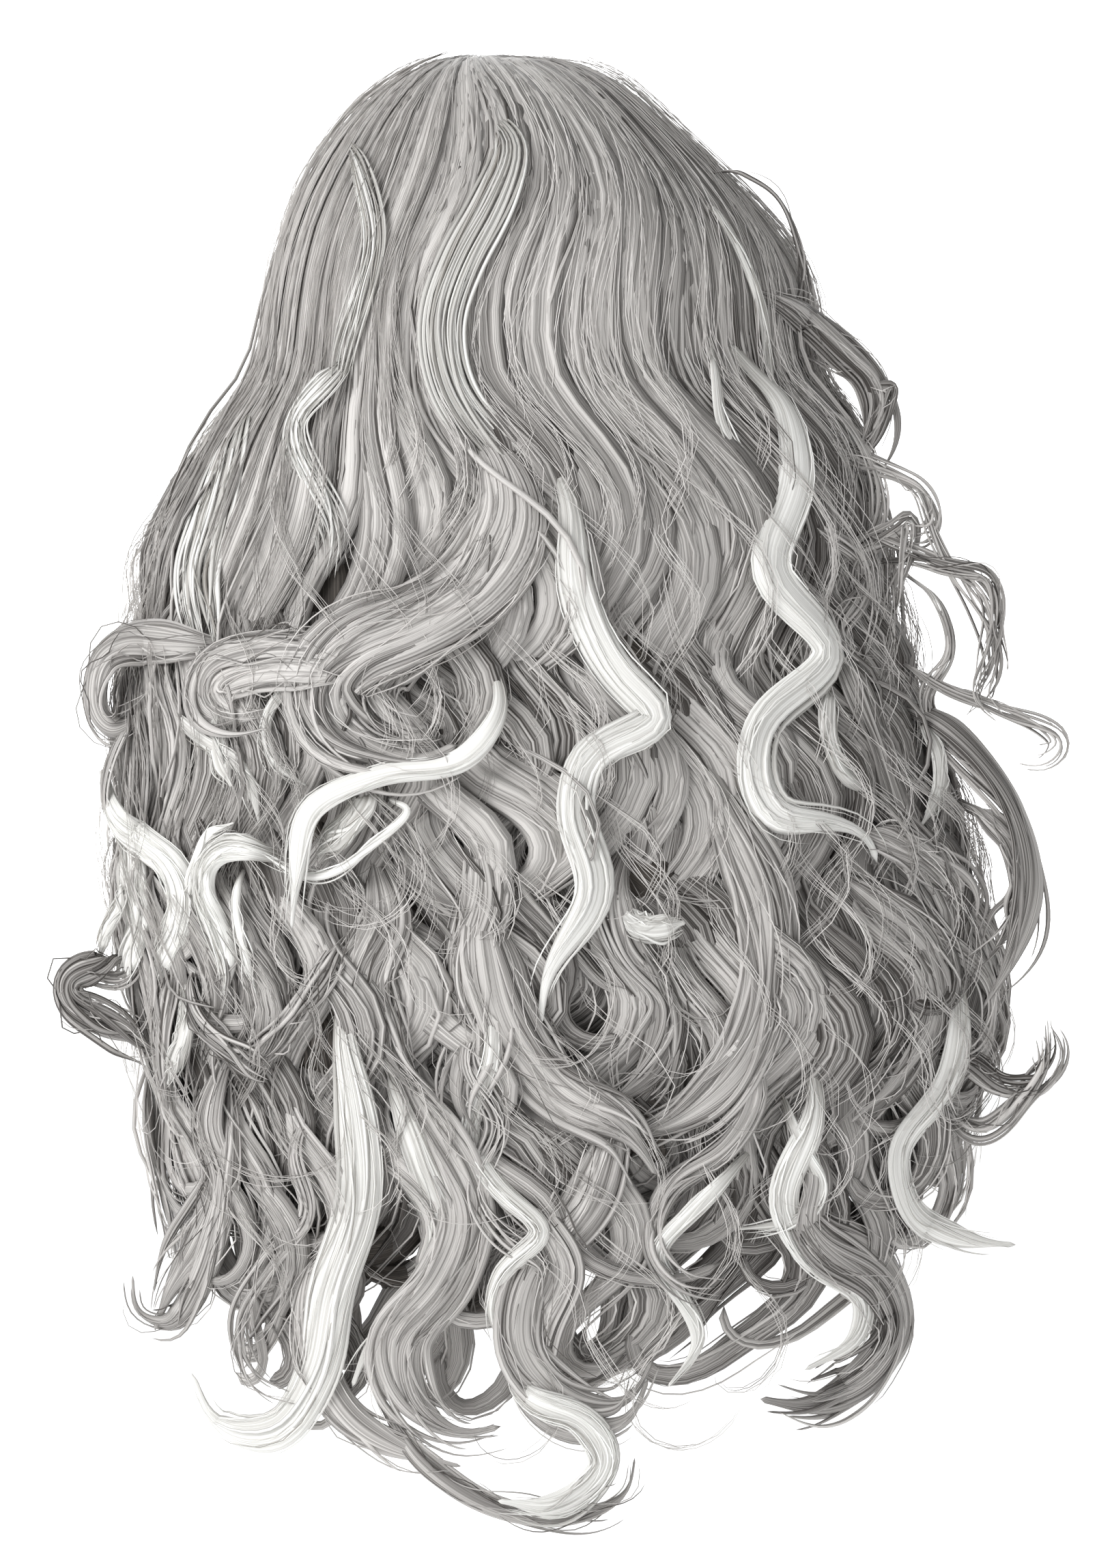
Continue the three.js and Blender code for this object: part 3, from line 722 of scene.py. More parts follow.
@dataclass
class Follower:
    """Reads the values of parent locks at shares of their length, for locks that follow them."""

    parents: Locks
    parent: Array  # each follower's parent
    share: Array  # shape (followers, stations)

    def __post_init__(self) -> None:
        """Find the stations on both sides of each share."""
        source = self.parents.points.shape[1] - 1
        self.low = np.minimum((self.share * source).astype(int), source - 1)
        self.part = self.share * source - self.low
        self.row = self.parent[:, None]

    def read(self, values: Array) -> Array:
        """Read an array of the parents at the followers' own shares, by straight lines."""
        part = self.part if values.ndim == 2 else self.part[..., None]
        return values[self.row, self.low] * (1.0 - part) + values[self.row, self.low + 1] * part


@dataclass(frozen=True)
class Tresses:
    """How a lock is split into thinner locks that lie side by side in it."""

    members: int  # how many thinner locks each one gets
    stations: int
    seed: int
    fray: float  # how far, in millimetres, members stray at the tip
    pale: float = 0.1  # the share of members that are of paler fibre
    spread: float = 1.0  # how far across the guide they lie, as a share of its width
    slim: float = 1.0  # how thick they are, as a share of usual
    weave: float = 0.14  # how far they weave across the guide, as a share of its width

    def of(self, guides: Locks) -> Locks:
        """Split each guide.

        A member keeps its own place across the guide, weaves a little to each side of it, ends a
        little before the guide does, and frays from it towards the tip.

        Args:
            guides: the locks to split.

        Returns:
            The members.
        """
        rng = np.random.default_rng(self.seed)
        total = len(guides) * self.members
        one = (total, 1)
        across, out = cross_frames(guides)
        reach = 1.0 - 0.2 * rng.random(one) ** 1.6
        even = np.linspace(0.0, 1.0, self.stations)[None, :]
        follow = Follower(guides, np.repeat(np.arange(len(guides)), self.members), reach * even)
        member = np.tile(np.arange(self.members), len(guides))
        spot = (member + rng.uniform(0.1, 0.9, total)) / self.members * 2.0 - 1.0
        turns = follow.share * rng.uniform(0.6, 2.2, one) + rng.random(one)
        sideways = np.clip(column(spot) + self.weave * np.sin(2.0 * math.pi * turns), -1.0, 1.0)
        rise = rng.uniform(0.5, 1.15, one) * np.sqrt(1.02 - sideways**2)
        two = (2, total, 1)
        turns = even * rng.uniform(0.5, 1.6, two) + rng.random(two)
        stray = self.fray * smooth(even, 0.35, 1.0) * np.sin(2.0 * math.pi * turns)
        width, thick = follow.read(guides.width), follow.read(guides.thick)
        wide = sideways * width * 0.46 * self.spread + stray[0]
        deep = rise * thick * 0.45 + 0.6 * stray[1]
        points = (
            follow.read(guides.points)
            + follow.read(across) * wide[..., None]
            + follow.read(out) * deep[..., None]
        )
        size = width * rng.uniform(0.14, 0.34, one) * self.slim
        width = np.maximum(size, 1.4 * self.slim) * (1.0 - 0.7 * smooth(even, TIP_BEGINS, 1.0))
        thick = np.maximum(width * rng.uniform(0.36, 0.56, one), self.slim)
        own = rng.normal(0.0, 0.13, one) + np.where(rng.random(one) < self.pale, 0.3, 0.0)
        tone = np.clip(follow.read(guides.tone) + own, 0.0, 0.82)
        return Locks(points, follow.read(guides.outward), width, thick, tone)


def slimmed(locks: Locks, tip: float, begin: float) -> Locks:
    """Make locks thinner from a share of their length on, down to a share of their size at the tip."""
    taper = mix(1.0, tip, smooth(np.linspace(0.0, 1.0, locks.width.shape[1]), begin, 0.98))
    return Locks(locks.points, locks.outward, locks.width * taper, locks.thick * taper, locks.tone)


@dataclass(frozen=True)
class Strands:
    """How thin strands lie along the outer faces of locks."""

    count: int
    stations: int
    seed: int
    reach: tuple[float, float]  # least and greatest multiple of the outline's size
    span: tuple[float, float]  # least and greatest share of the parent's length that one covers
    diameter: float
    tone_spread: float  # how far a strand's tone may differ from its parent's
    wander: tuple[float, float]  # least and greatest distance that one strays, in millimetres
    bias: float = 1.0  # below 1, more of them lie towards the tips

    def on(self, parents: Locks) -> Locks:
        """Lay the strands.

        Each follows a stretch of its parent's path at an angle round the outline that drifts a
        little, at some multiple of the outline's size, and wanders by slow sines.

        Args:
            parents: the locks to follow.

        Returns:
            The strands, as locks.
        """
        rng = np.random.default_rng(self.seed)
        one = (self.count, 1)
        weight = parents.width.max(axis=1)
        parent = rng.choice(len(parents), self.count, p=weight / weight.sum())
        cover = rng.uniform(*self.span, one)
        even = np.linspace(0.0, 1.0, self.stations)[None, :]
        begin = rng.random(one) ** self.bias * (1.0 - cover)
        follow = Follower(parents, parent, begin + cover * even)
        across, out = cross_frames(parents)
        angle = rng.uniform(0.06, 0.94, one) * math.pi + rng.normal(0.0, 0.35, one) * (even * 2.0 - 1.0)
        times = rng.uniform(*self.reach, one)
        stray = rng.uniform(*self.wander, one)
        slow = 2.0 * math.pi * (follow.share * rng.uniform(1.5, 5.0, one) + rng.random(one))
        wide = np.cos(angle) * follow.read(parents.width) / 2.0 * times + stray * np.sin(slow)
        deep = np.sin(angle) * follow.read(parents.thick) / 2.0 * times
        deep = deep + stray * (0.5 + 0.6 * np.cos(slow * 1.3))
        points = (
            follow.read(parents.points)
            + follow.read(across) * wide[..., None]
            + follow.read(out) * deep[..., None]
        )
        taper = np.sin(math.pi * (0.02 + 0.96 * even)) ** 0.4
        size = self.diameter * rng.uniform(0.7, 1.25, one) * taper
        tone = follow.read(parents.tone) + rng.normal(0.0, self.tone_spread, one)
        return Locks(points, follow.read(parents.outward), size, size.copy(), tone)


# Finishes


def node(
    tree: bpy.types.NodeTree, kind: str, links: Optional[dict] = None, **settings: object
) -> bpy.types.Node:
    """Add a node, set its properties and inputs, and link its inputs.

    Args:
        tree: the material's node tree.
        kind: the node's type name.
        links: input name or index to the output socket that feeds it.
        settings: properties of the node, or values of its inputs, with spaces written as underscores.

    Returns:
        The new node.
    """
    made = tree.nodes.new(kind)
    for key, value in settings.items():
        if hasattr(made, key):
            setattr(made, key, value)
        else:
            made.inputs[key.replace("_", " ")].default_value = value
    for key, source in (links or {}).items():
        tree.links.new(source, made.inputs[key])
    return made


def blank_material(name: str) -> bpy.types.Material:
    """Make a material with an empty node tree."""
    material = bpy.data.materials.new(name)
    material.use_nodes = True
    material.node_tree.nodes.clear()
    return material


def colour_between(
    tree: bpy.types.NodeTree, share: bpy.types.NodeSocket, low: str, high: str
) -> bpy.types.NodeSocket:
    """Mix two colours by a share.

    Args:
        tree: the material's node tree.
        share: the socket that gives 0 for the first colour and 1 for the second.
        low: the first colour, as six hex digits after a number sign.
        high: the second colour.

    Returns:
        The socket of the mixed colour.
    """
    made = node(tree, "ShaderNodeMix", {0: share}, data_type="RGBA")
    colours = [socket for socket in made.inputs if socket.type == "RGBA"]
    for socket, hex_colour in zip(colours, (low, high)):
        socket.default_value = linear(hex_colour)
    return next(socket for socket in made.outputs if socket.type == "RGBA")


@dataclass(frozen=True)
class FibreFinish:
    """Modacrylic wig fibre: fine smooth filaments with a satin gloss that runs across the lock.

    Dark and light filaments are mixed in streaks that run down the lock, on the map named fibre.
    """

    name: str
    dark: str
    light: str
    contrast: float = 1.0
    # Widths of the bands, the bundles and the fine lines in millimetres, each with its strength. A single
    # filament is 0.07 mm, too fine to draw, so the finest lines stand for some ten of them.
    streaks: tuple[tuple[float, float], ...] = ((10.0, 0.7), (2.8, 0.7), (0.9, 1.5))
    streak_length: float = 170.0
    roughness: float = 0.4
    bump: float = 0.7
    relief: float = 0.0003

    def build(self) -> bpy.types.Material:
        """Make the material.

        Returns:
            A material whose colour mixes dark and light by the lock's tone and by three noises that
            are drawn out along the lock: bands, bundles and fine lines.
        """
        material = blank_material(self.name)
        tree = material.node_tree
        uv = node(tree, "ShaderNodeUVMap", uv_map="fibre")
        tone = node(tree, "ShaderNodeAttribute", attribute_name="tone")
        level = tone.outputs["Fac"]
        for index, (pitch, strength) in enumerate(self.streaks):
            scaled = node(
                tree, "ShaderNodeMapping", {"Vector": uv.outputs["UV"]},
                Scale=(1.0 / pitch, 1.0 / self.streak_length, 1.0),
                Location=(7.3 * index, 3.1 * index, 0.0),
            )
            noise = node(
                tree, "ShaderNodeTexNoise", {"Vector": scaled.outputs["Vector"]},
                noise_dimensions="2D", Scale=1.0, Detail=0.5, Roughness=0.5,
            )
            half = 0.5 * self.contrast * strength
            share = node(
                tree, "ShaderNodeMapRange", {"Value": noise.outputs["Fac"]},
                clamp=False, To_Min=-half, To_Max=half,
            )
            total = node(tree, "ShaderNodeMath", {0: share.outputs["Result"], 1: level}, operation="ADD")
            level = total.outputs[0]
        total.use_clamp = True
        raised = node(
            tree, "ShaderNodeBump", {"Height": noise.outputs["Fac"]},
            Strength=self.bump, Distance=self.relief,
        )
        tangent = node(tree, "ShaderNodeTangent", direction_type="UV_MAP", uv_map="fibre")
        shader = node(
            tree, "ShaderNodeBsdfPrincipled",
            {
                "Base Color": colour_between(tree, level, self.dark, self.light),
                "Normal": raised.outputs["Normal"],
                "Tangent": tangent.outputs["Tangent"],
            },
            Roughness=self.roughness, Anisotropic=0.55, Specular_IOR_Level=0.3,
        )
        node(tree, "ShaderNodeOutputMaterial", {"Surface": shader.outputs["BSDF"]})
        return material


# Modacrylic fibre in silver grey: beige-grey shadows, pale cool-white lights.
SILVER_GREY = FibreFinish("modacrylic_fibre_silver_grey", dark="#474340", light="#ccc9c6")
# Phosphorescent polyester fibre, charged by daylight: near white, faintly green, still streaked.
GLOW_WHITE = FibreFinish(
    "phosphorescent_fibre_white", dark="#8b8781", light="#f3f3f0", contrast=0.5,
    streaks=((10.0, 0.7), (2.8, 0.5), (0.9, 1.8)), bump=0.5,
)
# The same grey fibre deep in the falls, where little light comes: a darker copy of it, as painted shade.
SHADED_GREY_FIBRE = FibreFinish(
    "modacrylic_fibre_grey_in_painted_shade", dark="#37332f", light="#7d766f", roughness=0.55,
)


@dataclass(frozen=True)
class NetFinish:
    """Elastic cap net: knitted polyamide thread, matt, with small open-looking meshes."""

    name: str = "knitted_elastic_net"
    thread: str = "#8a857f"
    hole: str = "#4a4642"
    pitch: float = 3.0  # real meshes are 1.5 mm, drawn twice as coarse so that they show

    def build(self) -> bpy.types.Material:
        """Make the material from a round mesh pattern on Object coordinates.

        Returns:
            The material.
        """
        material = blank_material(self.name)
        tree = material.node_tree
        place_of = node(tree, "ShaderNodeTexCoord")
        cells = node(
            tree, "ShaderNodeTexVoronoi", {"Vector": place_of.outputs["Object"]},
            feature="DISTANCE_TO_EDGE", Scale=1000.0 / self.pitch, Randomness=0.25,
        )
        mask = node(
            tree, "ShaderNodeMapRange", {"Value": cells.outputs["Distance"]},
            From_Min=0.08, From_Max=0.2,
        )
        relief = node(
            tree, "ShaderNodeBump", {"Height": mask.outputs["Result"]},
            Strength=0.5, Distance=0.0006, invert=True,
        )
        colour = colour_between(tree, mask.outputs["Result"], self.thread, self.hole)
        shader = node(
            tree, "ShaderNodeBsdfPrincipled",
            {"Base Color": colour, "Normal": relief.outputs["Normal"]},
            Roughness=0.85,
        )
        node(tree, "ShaderNodeOutputMaterial", {"Surface": shader.outputs["BSDF"]})
        return material


def dress(piece: bpy.types.Object, material: bpy.types.Material, slot: str, *nodes: str) -> None:
    """Give a piece its material, ride it on the wig and hide the solids that it replaces.

    Args:
        piece: the new piece.
        material: its finish.
        slot: the record's material slot; not used.
        nodes: the solids that it replaces.
    """
    piece.data.materials.clear()
    piece.data.materials.append(material)
    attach(piece, "root")
    if nodes:
        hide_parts(*nodes)
    triangles = sum(len(polygon.vertices) - 2 for polygon in piece.data.polygons)
    LOG.info("%s: %d triangles", piece.name, triangles)


# The wig's own parts


@dataclass(frozen=True)
class Span:
    """The azimuths of a fall's first and last lock, and its locks as a share of the back's."""

    low: float
    high: float
    share: float


@dataclass(frozen=True)
class LayerPlan:
    """What the locks of one layer have in common."""

    layer: Layer
    count: int  # how many there are in the back
    width: float
    thick: float
    lift: float  # how far out of the form they lie
    ends: tuple[float, float]  # least and greatest share of the fall's full depth that they reach
    loose: bool = False  # whether each goes its own way, as stray hairs do


@dataclass
class FallLocks:
    """The long locks of the back and of the two sides, from the parting to their tips."""

    stations: int = 68
    tress_stations: int = 52
    # Azimuths of the tips' table, with the depth of the lowest tips as a share of the hair's length.
    tip_azimuths: tuple[float, ...] = (
        -146, -112, -88, -68, -52, -35, -18, 0, 16, 32, 49, 66, 85, 106, 144,
    )
    tip_ends: tuple[float, ...] = (
        0.65, 0.72, 0.84, 0.89, 0.94, 0.955, 0.94, 0.975, 0.95, 0.93, 0.91, 0.87, 0.83, 0.76, 0.66,
    )
    # Pale and dark bands in the combed hair: the root's azimuth and what it adds to the tone.
    # The dark band at 38 degrees is painted shade, in the gap between the crown and the locks on the wearer's
    # right.
    bands: tuple[tuple[float, float], ...] = (
        (-34, 0), (-29, 0.14), (-24, 0), (-20, 0), (-16, 0.24), (-11, 0), (-4, -0.05), (6, 0), (13, 0.24),
        (20, 0), (28, 0), (38, -0.22), (47, 0), (52, 0.14), (58, 0),
    )
    # Azimuths of some roots, and where their locks would hang straight down.
    fan_roots: tuple[float, ...] = (-140.0, -90.0, 0.0, 90.0, 140.0)
    fan_tips: tuple[float, ...] = (-150.0, -88.0, 0.0, 86.0, 150.0)
    # The hair underneath is the darkest layer, in the darker copy of the fibre: painted shade deep in the
    # falls.
    shaded_under_hair: LayerPlan = LayerPlan(Layer.DEEP, 26, 40.0, 8.0, -17.0, (0.76, 0.9))
    middle: LayerPlan = LayerPlan(Layer.MIDDLE, 34, 30.0, 6.0, -10.5, (0.8, 1.0))
    outer: LayerPlan = LayerPlan(Layer.OUTER, 42, 20.0, 4.6, -2.5, (0.66, 1.0))
    stray: LayerPlan = LayerPlan(Layer.OUTER, 70, 2.0, 2.0, 2.0, (0.6, 1.0), loose=True)
    locks: dict[Fall, Locks] = field(default_factory=dict)
    strays: dict[Fall, Locks] = field(default_factory=dict)

    def layer(self, plan: LayerPlan, span: Span, seed: int) -> Locks:
        """Make one layer of locks between two azimuths.

        Neighbours go in groups of about four, which wave together and curl the same way. Locks that
        leave the parting sideways start further forward on it.

        Args:
            plan: what the locks have in common.
            span: the azimuths between which they grow.
            seed: the start of the random numbers.

        Returns:
            The locks.
        """
        rng = np.random.default_rng(seed)
        count = round(plan.count * span.share)
        spacing = (span.high - span.low) / max(count - 1, 1)
        root = np.linspace(span.low, span.high, count) + rng.uniform(-0.3, 0.3, count) * spacing
        fan = np.interp(root, self.fan_roots, self.fan_tips)
        full = np.interp(fan, self.tip_azimuths, self.tip_ends) * DRAPE.hair_length
        end = DRAPE.arc_of(full * rng.uniform(*plan.ends, count))
        sideways = np.abs(root) > PARTED_ROOTS[0]
        nested = np.interp(np.abs(root), PARTED_ROOTS, (6.0, 78.0)) + rng.uniform(-3.0, 3.0, count)
        start = np.where(sideways, nested, rng.uniform(5.0, 12.0, count))
        group = np.cumsum(rng.random(count) < (1.0 if plan.loose else 0.25))
        groups = count + 1
        spread = 3.0 if plan.loose else 1.0
        # The layer's tone paints deeper layers darker, as painted shade, and the bands add their own light
        # and dark.
        banded = plan.layer.value + np.interp(root, *zip(*self.bands))
        flatter = (1.0 - 0.3 * np.abs(root) / 90.0).clip(0.6, 1.0)
        growth = Growth(
            root=root,
            tip=fan + spread * rng.normal(0.0, 3.0, groups)[group] + rng.normal(0.0, 1.5, count),
            start=start,
            end=end,
            lift=plan.lift + 0.9 * (np.arange(count) % 3 - 1.0) + spread * rng.normal(0.0, 0.5, count),
            width=plan.width * rng.uniform(0.6, 1.35, count),
            thick=plan.thick * rng.uniform(0.8, 1.2, count),
            tone=banded + rng.normal(0.0, 0.12, groups)[group] + rng.normal(0.0, 0.14, count),
            swing=rng.uniform(0.85, 1.25, groups)[group] * flatter,
            phase=spread * rng.normal(0.0, 0.22, groups)[group]
            + rng.normal(0.0, 0.04, count)
            - root / 420.0,
            hook=(rng.choice([-1.0, 1.0], groups) * rng.uniform(110.0, 230.0, groups))[group],
            curl=rng.uniform(16.0, 30.0, count),
            parted=sideways.astype(float),
            twist=rng.uniform(-0.5, 0.5, count),
        )
        return grown(growth, self.stations)

    def build(self, finish: bpy.types.Material, deep: bpy.types.Material) -> None:
        """Make the three layers of each fall and dress them.

        Args:
            finish: the grey fibre.
            deep: the same grey fibre in a darker copy, as painted shade deep in the falls.
        """
        spans = {
            Fall.BACK: Span(-84.0, 84.0, 1.0),
            Fall.LEFT: Span(-135.0, -82.0, 0.42),
            Fall.RIGHT: Span(82.0, 135.0, 0.44),
        }
        for index, (fall, span) in enumerate(spans.items()):
            name = fall.value
            # The hair underneath gets the darker copy of the fibre, as painted shade.
            under = self.layer(self.shaded_under_hair, span, 100 * index)
            piece = swept_mesh(f"{name}_shaded_under_hair", under, 6, 0.12, 7 + index)
            dress(piece, deep, "grey_fibre")
            layers = []
            for number, label, plan in ((1, "middle", self.middle), (2, "outer", self.outer)):
                seed = 3 * index + number
                ribbons = self.layer(plan, span, 100 * index + number)
                piece = swept_mesh(f"{name}_{label}_locks", ribbons, 6 + number, 0.09, 17 + seed)
                nodes = (name, "crown_hair") if fall is Fall.BACK else (name,)
                dress(piece, finish, "grey_fibre", *(nodes if label == "middle" else ()))
                tresses = Tresses(2 * number, self.tress_stations, 60 + seed, fray=4.5, slim=0.7)
                piece = swept_mesh(f"{name}_{label}_tresses", tresses.of(ribbons), 4, 0.06, 37 + seed)
                dress(piece, finish, "grey_fibre")
                layers.append(ribbons)
            self.locks[fall] = joined(layers)
            self.strays[fall] = self.layer(self.stray, span, 90 + index)


